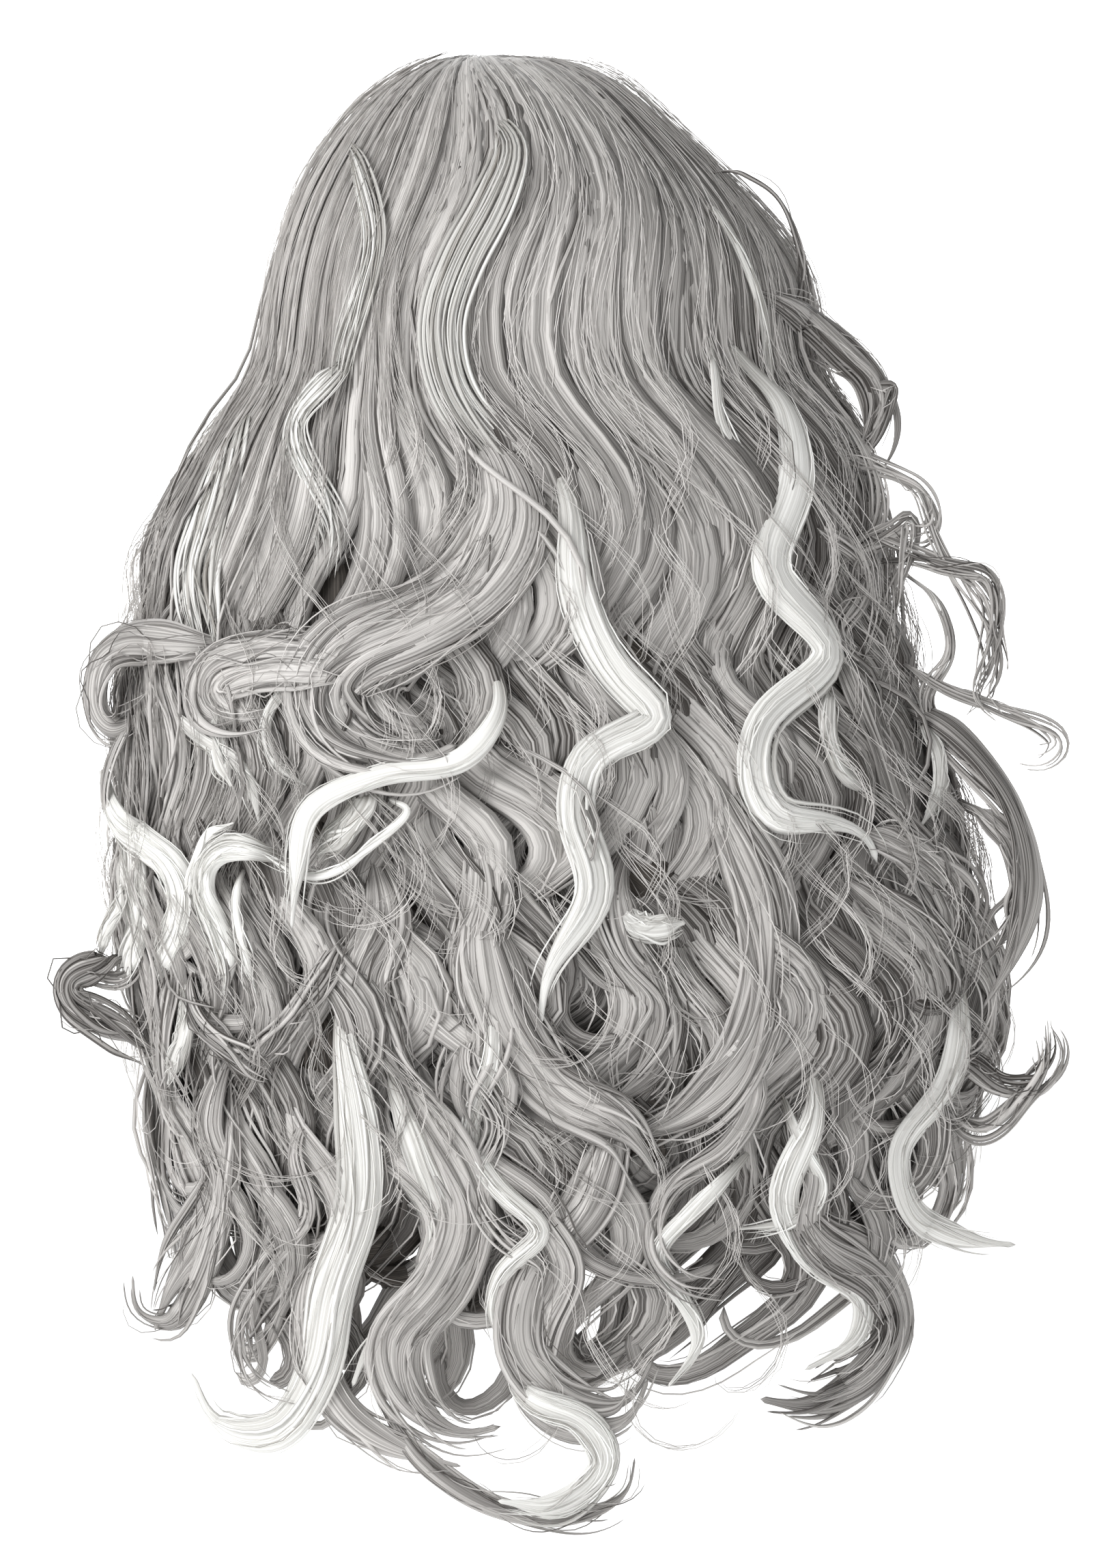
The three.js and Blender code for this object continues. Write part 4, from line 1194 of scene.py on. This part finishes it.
@dataclass
class DrawnLocks:
    """The curls and the glow locks that the eye picks out, each drawn by its bends.

    Each row holds width, thickness, distance out of the form, tone and bends. The bends are across and
    down, one after another, in thousandths of the half spread and of the hair's length.
    """

    stations: int = 70
    around: int = 12
    feathered: int = 4  # the first glow locks mix with the grey of the crown in fine tresses
    core_width: float = 9.5  # thinner curls are made of tresses alone
    broad_width: float = 21.0  # broader curls are split into more and finer tresses
    # One row for each glow solid, in order.
    glow: DrawnRows = (
        (13, 5, 1, 0.5, (-26, 12, 16, 38, 69, 73, 38, 104, -33, 150, -69, 190, -48, 236, 41, 278, 158, 316,
            213, 360)),
        (8, 4, 0.5, 0.4, (-262, 45, -256, 60, -233, 85, -203, 137, -226, 170, -260, 210, -275, 250)),
        (12, 5, 3, 0.6, (-233, 203, -283, 229, -361, 266, -327, 301, -288, 332, -300, 370)),
        (15, 5, 1, 0.45, (-450, 235, -487, 272, -510, 300, -532, 329, -556, 361, -545, 392, -520, 430)),
        (17, 8, 8, 0.75, (118, 267, 181, 313, 192, 367, 281, 431, 358, 460, 220, 485, 189, 520, 231, 574,
            137, 635, 124, 668)),
        (18, 9, 7, 0.8, (494, 203, 618, 257, 635, 297, 579, 360, 700, 421, 560, 466, 553, 505, 590, 528,
            700, 532, 785, 545, 795, 560)),
        (11, 8, 11, 0.8, (21, 414, 47, 452, -14, 485, -192, 498, -329, 523, -354, 563, -365, 602)),
        (13, 8, 8, 0.8, (-367, 557, -429, 550, -492, 548, -533, 558, -542, 576, -517, 600, -493, 623,
            -498, 649)),
        (15, 7, 4, 0.8, (-749, 494, -740, 514, -718, 533, -662, 547, -605, 561, -583, 582, -599, 608,
            -630, 632, -655, 658)),
        (20, 7, 5, 0.7, (-254, 626, -263, 659, -239, 725, -231, 786, -288, 847, -316, 903, -398, 946,
            -521, 943, -572, 908)),
        (9, 5, 4, 0.7, (14, 617, 34, 687, -16, 744, 48, 779, 133, 805, 48, 833, 30, 866, 66, 892)),
        (14, 6, 5, 0.7, (947, 621, 963, 664, 940, 706, 837, 758, 865, 795, 988, 816, 1077, 820)),
        (14, 6, 8, 0.75, (70, 890, 75, 910, 120, 920, 206, 932, 255, 960, 165, 992, 41, 988)),
        (14, 6, 4, 0.7, (659, 687, 672, 720, 611, 791, 659, 826, 771, 854, 762, 878, 652, 903)),
        (8, 5, 4, 0.7, (563, 748, 439, 788, 354, 824, 412, 856, 442, 880, 377, 912)),
    )
    small_glow: DrawnRows = (
        (18, 6, 2, 0.7, (-712, 537, -693, 557, -687, 578, -674, 600, -693, 623, -712, 649)),
        (4, 3, 9, 0.7, (-204, 505, -166, 516, -128, 520, -160, 533, -216, 548, -266, 561, -323, 567,
            -379, 561, -429, 550)),
        (13, 4, 4, 0.5, (-204, 503, -222, 518, -266, 537, -316, 552)),
        (6, 4, 5, 0.7, (-567, 589, -569, 574, -555, 557, -527, 539, -480, 531)),
        (4, 3, 6, 0.7, (-455, 557, -473, 574, -476, 591, -461, 615, -436, 647)),
        (9, 5, 3, 0.6, (-498, 449, -514, 466, -508, 488, -486, 507)),
        (7, 4, 3, 0.6, (-630, 447, -593, 462, -530, 479, -480, 488, -448, 505, -429, 535)),
        (6, 4, 3, 0.6, (-304, 428, -367, 438, -411, 455, -417, 475, -386, 494, -335, 505)),
        (9, 5, 3, 0.6, (-593, 634, -574, 651, -580, 673, -599, 692, -618, 711)),
        (7, 4, 2, 0.6, (-756, 625, -743, 608, -718, 591, -712, 574)),
        (13, 6, 2, 0.6, (-192, 682, -110, 758, -66, 809, -124, 852, -220, 889, -247, 913)),
        (5, 3, 1, 0.5, (460, 190, 474, 230, 489, 264, 534, 285, 586, 310, 620, 340)),
        (5, 3, 0.5, 0.45, (420, 90, 458, 106, 521, 140, 570, 185, 583, 217, 600, 250)),
        (12, 6, 3, 0.7, (268, 584, 322, 600, 412, 597)),
        (9, 5, 3, 0.7, (878, 457, 922, 490, 917, 518, 885, 536)),
        (7, 4, 4, 0.7, (604, 715, 652, 753, 683, 774, 645, 798, 519, 806)),
        (8, 5, 3, 0.6, (707, 431, 698, 452, 698, 473, 730, 500, 793, 516)),
    )
    curls: DrawnRows = (
        (3, 2, 1, 0.3, (450, 70, 520, 88, 598, 104, 640, 130, 653, 172, 640, 200)),
        (10, 5, 1, 0.5, (-200, 920, -110, 960, 0, 988, 115, 1000, 230, 998, 300, 984, 313, 961)),
        (26, 9, 6, 0.8, (-190, 428, -280, 424, -380, 422, -460, 425, -520, 434, -525, 449, -470, 458,
            -400, 455)),
        (9, 5, 3, 0.45, (-241, 600, -266, 610, -304, 634, -348, 653, -392, 673, -436, 696, -467, 711)),
        (9, 5, 4, 0.5, (-555, 626, -567, 640, -558, 658, -517, 677, -467, 690, -404, 701)),
        (12, 5, 2, 0.5, (-599, 621, -618, 647, -627, 673, -627, 703, -618, 729)),
        (17, 7, 5, 0.6, (-480, 407, -542, 410, -618, 411, -699, 411, -749, 421, -765, 440, -759, 460,
            -727, 471, -680, 462, -636, 447)),
        (36, 9, 6, 0.76, (-36, 253, 48, 287, 71, 318, 43, 348, -27, 377, -130, 399, -240, 415, -295, 437,
            -280, 461, -209, 480, -114, 488, -36, 477)),
        (22, 7, 2, 0.69, (0, 297, 48, 334, 0, 372, -82, 398, -165, 417, -206, 438, -178, 459, -110, 468)),
        (15, 6, 3, 0.42, (-680, 626, -731, 628, -787, 632, -820, 640, -815, 653, -762, 665, -693, 677,
            -630, 692)),
        (14, 7, 2, 0.54, (-487, 700, -490, 744, -508, 791, -549, 842, -618, 875, -679, 868, -690, 842)),
        (28, 9, 3, 0.5, (600, 770, 686, 814, 789, 842, 830, 882, 768, 913, 659, 927, 563, 922)),
        (20, 8, 3, 0.64, (300, 700, 274, 739, 220, 791, 103, 838, 89, 885, 178, 918, 302, 922, 350, 894)),
        (30, 9, 4, 0.69, (0, 570, 21, 617, 55, 659, 165, 711, 302, 739, 357, 767)),
        (26, 8, 3, 0.64, (450, 480, 494, 523, 563, 579, 576, 635, 521, 692, 384, 734, 274, 744)),
        (15, 7, 3, 0.54, (700, 400, 782, 463, 837, 517, 892, 561, 975, 580)),
        (15, 7, 3, 0.49, (800, 440, 961, 476, 1070, 523, 1105, 579, 1070, 626, 1002, 664)),
        (8, 5, 1, 0.54, (860, 690, 984, 696, 1043, 713, 1118, 713, 1150, 693, 1140, 665)),
        (6, 4, 1, 0.64, (810, 349, 881, 353, 952, 359, 1024, 364, 1040, 378, 1032, 405, 1040, 429,
            1015, 447)),
        (5, 4, 1, 0.69, (741, 287, 793, 293, 881, 307, 904, 329, 944, 359, 1000, 388, 1032, 413, 1024, 440,
            969, 460)),
        (8, 5, 2, 0.8, (686, 358, 753, 348, 833, 334, 865, 326, 858, 348, 833, 375, 818, 397)),
        (18, 9, 2, 0.44, (550, 165, 672, 193, 730, 212, 778, 228, 801, 247, 793, 269, 762, 293)),
        (26, 8, 2, 0.74, (-173, 680, -118, 718, -55, 756, -19, 794, -71, 842, -157, 880, -126, 923,
            -31, 945, 48, 939)),
        (18, 7, 2, 0.64, (48, 767, 126, 799, 174, 831, 126, 875, 111, 912, 205, 939, 300, 934, 339, 907)),
        (16, 7, 1, 0.8, (-299, 810, -331, 853, -315, 896, -252, 934, -142, 956, -31, 966)),
        (20, 7, 2, 0.59, (-488, 686, -535, 734, -504, 777, -551, 821, -622, 858, -646, 880)),
        (22, 7, 2, 0.44, (300, 540, 268, 578, 300, 615, 378, 653, 347, 696, 252, 723)),
        (24, 7, 1, 0.64, (-205, 551, -173, 594, -220, 637, -173, 680, -110, 718)),
        (24, 7, 1, 0.74, (-15, 518, 16, 572, -15, 626, 16, 669, -31, 713, 0, 750)),
        (20, 7, 2, 0.54, (709, 561, 804, 588, 898, 621, 914, 664, 835, 707, 741, 734)),
        (16, 7, 2, 0.69, (615, 734, 678, 767, 662, 804, 756, 842, 804, 875, 756, 907)),
        (18, 7, 2, 0.59, (741, 534, 851, 551, 953, 578, 961, 615)),
        (12, 6, 2, 0.49, (961, 513, 1071, 551, 1087, 588, 1024, 626)),
        (9, 6, 1, 0.59, (898, 723, 1008, 745, 1087, 723, 1142, 696, 1119, 669)),
        (5, 3, 3, 0.74, (615, 205, 725, 227, 804, 238, 835, 233, 820, 254, 772, 273, 709, 281)),
        (6, 3, 2, 0.79, (646, 259, 741, 281, 820, 292, 898, 308, 914, 332, 851, 340, 812, 329)),
        (5, 3, 3, 0.69, (678, 319, 804, 340, 914, 354, 1009, 370, 1040, 394, 1017, 426, 993, 448, 1048, 467)),
        (6, 4, 2, 0.8, (615, 313, 709, 340, 772, 356, 757, 383, 709, 399, 749, 421, 820, 426)),
        (5, 3, 2, 0.79, (804, 410, 930, 443, 1040, 456, 1135, 467, 1169, 478, 1135, 491, 1056, 489)),
        (5, 3, 3, 0.74, (662, 238, 757, 270, 804, 302, 796, 335, 749, 356, 757, 378)),
        (7, 4, 1, 0.64, (851, 453, 977, 497, 1072, 534, 1092, 572, 1048, 610, 977, 632)),
        (5, 3, 2, 0.8, (851, 356, 930, 389, 946, 421, 898, 448, 930, 475, 1009, 491)),
        (8, 4, 2, 0.74, (741, 578, 898, 605, 1024, 648, 1009, 686, 930, 707, 953, 740)),
        (6, 4, 2, 0.64, (-630, 605, -709, 642, -811, 637, -816, 653, -724, 664, -630, 675)),
        (6, 4, 2, 0.8, (-646, 443, -724, 486, -740, 524, -685, 551, -701, 588, -661, 615)),
        (8, 4, 3, 0.8, (48, 642, -15, 686, 48, 734, 0, 777, 63, 810, 142, 826, 126, 858)),
        (9, 5, 3, 0.8, (505, 664, 552, 707, 489, 750, 378, 777, 347, 815, 410, 842, 505, 848)),
        (7, 4, 3, 0.8, (-299, 713, -362, 750, -330, 794, -409, 831, -472, 875, -441, 912, -346, 929)),
    )
    glow_locks: Optional[Locks] = None
    grey_locks: Optional[Locks] = None

    def build_glow(self, finish: bpy.types.Material) -> None:
        """Make the glow locks, one piece for each solid, then the small ones and the tresses in them.

        Args:
            finish: the glow fibre.
        """
        glow = DRAWING.locks(self.glow, self.stations, 0.5)
        for index in range(len(glow)):
            name = f"glow_lock_{index + 1:02d}"
            one, around = glow.picked([index]), self.around
            if index < self.feathered:
                feathers = Tresses(
                    14, 60, 300 + index, fray=1.2, pale=0.3, spread=1.8, slim=0.6, weave=0.06
                )
                one, around = feathers.of(one), 4
            piece = swept_mesh(f"{name}_fibre", slimmed(one, 0.3, 0.8), around, 0.035, 320 + index)
            dress(piece, finish, "glow_fibre", name)
        small = DRAWING.locks(self.small_glow, self.stations, 0.5)
        piece = swept_mesh("small_glow_locks", slimmed(small, 0.3, 0.75), 10, 0.09, 341)
        dress(piece, finish, "glow_fibre")
        self.glow_locks = joined([glow, small])
        tresses = Tresses(5, 44, 342, fray=3.5, pale=0.0, spread=1.15, slim=0.55)
        piece = swept_mesh("glow_tresses", tresses.of(self.glow_locks), 4, 0.06, 343)
        dress(piece, finish, "glow_fibre")

    def build_curls(self, finish: bpy.types.Material) -> None:
        """Make the curls: the cores of all but the thin ones, and the tresses in them.

        Args:
            finish: the grey fibre.
        """
        curls = DRAWING.locks(self.curls, self.stations, 0.15)
        self.grey_locks = curls
        size = curls.width.max(axis=1)
        thick, broad = size > self.core_width, size > self.broad_width
        piece = swept_mesh("grey_curls", slimmed(curls.picked(thick), 0.2, 0.64), 10, 0.1, 351)
        dress(piece, finish, "grey_fibre")
        tresses = Tresses(12, 58, 352, fray=5.0, pale=0.2, spread=1.15, slim=0.6)
        piece = swept_mesh("broad_curl_tresses", tresses.of(curls.picked(broad)), 4, 0.06, 355)
        dress(piece, finish, "grey_fibre")
        usual = Tresses(5, 46, 354, fray=5.0, pale=0.12, spread=1.3, slim=0.8)
        thin = Tresses(7, 46, 356, fray=4.0, pale=0.2, spread=1.5, slim=1.1)
        members = joined([usual.of(curls.picked(thick & ~broad)), thin.of(curls.picked(~thick))])
        dress(swept_mesh("curl_tresses", members, 4, 0.06, 353), finish, "grey_fibre")

    def build(self, finish: bpy.types.Material, glow_finish: bpy.types.Material) -> None:
        """Make the glow locks and the curls.

        Args:
            finish: the grey fibre.
            glow_finish: the glow fibre.
        """
        self.build_glow(glow_finish)
        self.build_curls(finish)


@dataclass(frozen=True)
class FibreCounts:
    """How many loose fibres of each kind a fall gets."""

    wisps: int
    lying: int
    tips: int
    straying: int


@dataclass
class LooseFibres:
    """Thin wisps and single strands that lie on the locks, stray from them and stand off the crown."""

    wisp_sides: int = 4
    strand_sides: int = 3
    stations: int = 12  # of a short strand
    # Single strands are painted paler than their locks, as a painted highlight on loose fibres.
    paler: float = 0.4  # what single strands have over the tone of their locks

    def on_fall(
        self, index: int, fall: Fall, counts: FibreCounts, falls: FallLocks, finish: bpy.types.Material
    ) -> None:
        """Make the wisps and the strands of one fall.

        Args:
            index: the fall's number, for the random numbers.
            fall: the fall.
            counts: how many fibres of each kind there are.
            falls: the long locks, already built.
            finish: the grey fibre.
        """
        parents, few = falls.locks[fall], self.stations
        wisps = Strands(counts.wisps, 36, 400 + index, (0.7, 1.2), (0.4, 0.8), 2.6, 0.16, (2.0, 7.0))
        piece = swept_mesh(f"{fall.value}_wisps", wisps.on(parents), self.wisp_sides, 0.05, 410 + index)
        dress(piece, finish, "grey_fibre")
        lying = Strands(counts.lying, few, 420 + index, (1.0, 1.3), (0.15, 0.4), 0.7, 0.25, (0.3, 2.0))
        tips = Strands(
            counts.tips, few, 423 + index, (0.8, 1.6), (0.15, 0.3), 1.1, 0.2, (0.5, 5.0), bias=0.2
        )
        straying = Strands(
            counts.straying, few, 426 + index, (1.0, 1.0), (0.08, 0.3), 0.42, 0.2, (0.5, 4.0)
        )
        fine = joined([lying.on(parents), tips.on(parents), straying.on(falls.strays[fall])])
        # Painted highlight: single strands are made paler than their locks.
        fine.tone = fine.tone + self.paler
        piece = swept_mesh(f"{fall.value}_strands", fine, self.strand_sides, 0.0, 430 + index)
        dress(piece, finish, "grey_fibre")

    def build(
        self, falls: FallLocks, features: DrawnLocks,
        finish: bpy.types.Material, glow_finish: bpy.types.Material,
    ) -> None:
        """Make the wisps and strands of each fall, of the curls and of the glow locks.

        Args:
            falls: the long locks, already built.
            features: the drawn locks, already built.
            finish: the grey fibre.
            glow_finish: the glow fibre.
        """
        counts = {
            Fall.BACK: FibreCounts(70, 280, 300, 1800),
            Fall.LEFT: FibreCounts(30, 80, 100, 480),
            Fall.RIGHT: FibreCounts(40, 80, 120, 850),
        }
        for index, (fall, count) in enumerate(counts.items()):
            self.on_fall(index, fall, count, falls, finish)
        grey = Strands(300, 18, 440, (1.0, 1.3), (0.3, 0.8), 0.7, 0.3, (0.4, 4.0))
        piece = swept_mesh("curl_strands", grey.on(features.grey_locks), self.strand_sides, 0.0, 441)
        dress(piece, finish, "grey_fibre")
        glow = Strands(250, 18, 442, (1.0, 1.15), (0.3, 0.8), 0.7, 0.2, (0.1, 1.2))
        piece = swept_mesh("glow_strands", glow.on(features.glow_locks), self.strand_sides, 0.0, 443)
        dress(piece, glow_finish, "glow_fibre")


@dataclass(frozen=True)
class Lamp:
    """A square soft light: its place and the length of its side in metres, and its power in watts."""

    name: str
    where: tuple[float, float, float]
    size: float
    watts: float
    aim: Optional[tuple[float, float, float]] = None  # nothing for the middle of the wig

    def hang(self, middle: tuple[float, float, float]) -> None:
        """Hang the light so that it faces its aim, or else the middle of the wig."""
        data = bpy.data.lights.new(self.name, "AREA")
        data.size = self.size
        data.energy = self.watts
        lamp = bpy.data.objects.new(self.name, data)
        bpy.context.scene.collection.objects.link(lamp)
        away = np.array(self.where) - np.array(self.aim or middle)
        away = away / np.linalg.norm(away)
        lamp.location = self.where
        lamp.rotation_euler = (math.acos(away[2]), 0.0, math.atan2(away[0], -away[1]))


@dataclass
class Studio:
    """A plain pale sweep, soft lights and the camera behind the wig. Its lengths are metres."""

    distance: float = 4.5
    pixel: float = 0.000317  # how much of the wig one row of the picture shows
    rows: int = 2296
    sensor: float = 36.0
    raised: float = 2.0  # degrees by which the camera looks down
    centre: tuple[float, float, float] = (0.0328, -0.05, -0.327)
    floor: float = -0.74
    half_width: float = 14.0
    front: float = -14.0
    wall: float = 10.0
    wall_height: float = 9.0
    corner_radius: float = 1.5
    paper: str = "#f4f4f4"
    paper_glow: float = 0.45
    surroundings: float = 0.36
    lamps: tuple[Lamp, ...] = (
        Lamp("key_light", (-2.2, -1.9, 1.3), 2.2, 101.0),
        Lamp("fill_light", (1.9, -2.3, 0.2), 1.8, 4.0),
        Lamp("back_light", (0.6, 2.2, 1.8), 1.6, 8.0),
        Lamp("backdrop_light", (0.0, 6.6, 2.6), 3.4, 260.0, aim=(0.0, 9.9, 0.3)),
    )

    def camera(self) -> None:
        """Put the camera behind the wig, level with its middle and a little raised."""
        data = bpy.data.cameras.new("camera")
        data.sensor_fit = "VERTICAL"
        data.sensor_height = self.sensor
        data.lens = self.sensor * self.distance / (self.rows * self.pixel)
        camera = bpy.data.objects.new("camera", data)
        bpy.context.scene.collection.objects.link(camera)
        lift = math.radians(self.raised)
        x, y, z = self.centre
        camera.location = (x, y - self.distance * math.cos(lift), z + self.distance * math.sin(lift))
        camera.rotation_euler = (math.radians(90.0) - lift, 0.0, 0.0)
        bpy.context.scene.camera = camera

    def sweep(self) -> None:
        """Make the floor and the backdrop as one sheet that curves up: a quarter circle between flats."""
        angles = np.radians(np.linspace(0.0, 90.0, 13))
        radius = self.corner_radius
        foot = self.wall - radius
        curve_y = np.concatenate([[self.front], foot + radius * np.sin(angles), [self.wall]])
        curve_z = np.concatenate([[0.0], radius - radius * np.cos(angles), [self.wall_height]])
        count = len(curve_y)
        across = np.repeat([-self.half_width, self.half_width], count)
        verts = np.stack([across, np.tile(curve_y, 2), np.tile(curve_z + self.floor, 2)], axis=-1)
        faces = [(i, i + count, i + count + 1, i + 1) for i in range(count - 1)]
        mesh = bpy.data.meshes.new("studio_sweep")
        mesh.from_pydata(verts.tolist(), [], faces)
        mesh.update()
        sheet = bpy.data.objects.new("studio_sweep", mesh)
        bpy.context.scene.collection.objects.link(sheet)
        material = bpy.data.materials.new("white_paper_lit_through")
        material.use_nodes = True
        shader = material.node_tree.nodes["Principled BSDF"]
        shader.inputs["Base Color"].default_value = linear(self.paper)
        shader.inputs["Roughness"].default_value = 0.9
        shader.inputs["Emission Color"].default_value = linear("#ffffff")
        shader.inputs["Emission Strength"].default_value = self.paper_glow
        mesh.materials.append(material)

    def build(self) -> None:
        """Make the sweep, the lights and the pale surroundings."""
        self.sweep()
        for lamp in self.lamps:
            lamp.hang(self.centre)
        world = bpy.data.worlds.new("pale_room")
        world.use_nodes = True
        background = world.node_tree.nodes["Background"]
        background.inputs["Color"].default_value = linear("#ffffff")
        background.inputs["Strength"].default_value = self.surroundings
        bpy.context.scene.world = world
        bpy.context.scene.view_settings.view_transform = "Standard"


def main() -> None:
    """Build the wig's parts in order and report each piece."""
    logging.basicConfig(level=logging.INFO, format="%(name)s %(message)s")
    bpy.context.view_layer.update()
    studio = Studio()
    studio.camera()
    studio.build()
    # The third finish is a darker copy of the grey fibre, as painted shade deep in the falls.
    grey, glow, deep = SILVER_GREY.build(), GLOW_WHITE.build(), SHADED_GREY_FIBRE.build()
    cap = frame["nodes"]["cap"]
    net = NetFinish().build()
    for material_slot in cap.material_slots:
        material_slot.material = net
    falls = FallLocks()
    falls.build(grey, deep)
    features = DrawnLocks()
    features.build(grey, glow)
    LooseFibres().build(falls, features, grey, glow)


if __name__ == "__main__":
    main()
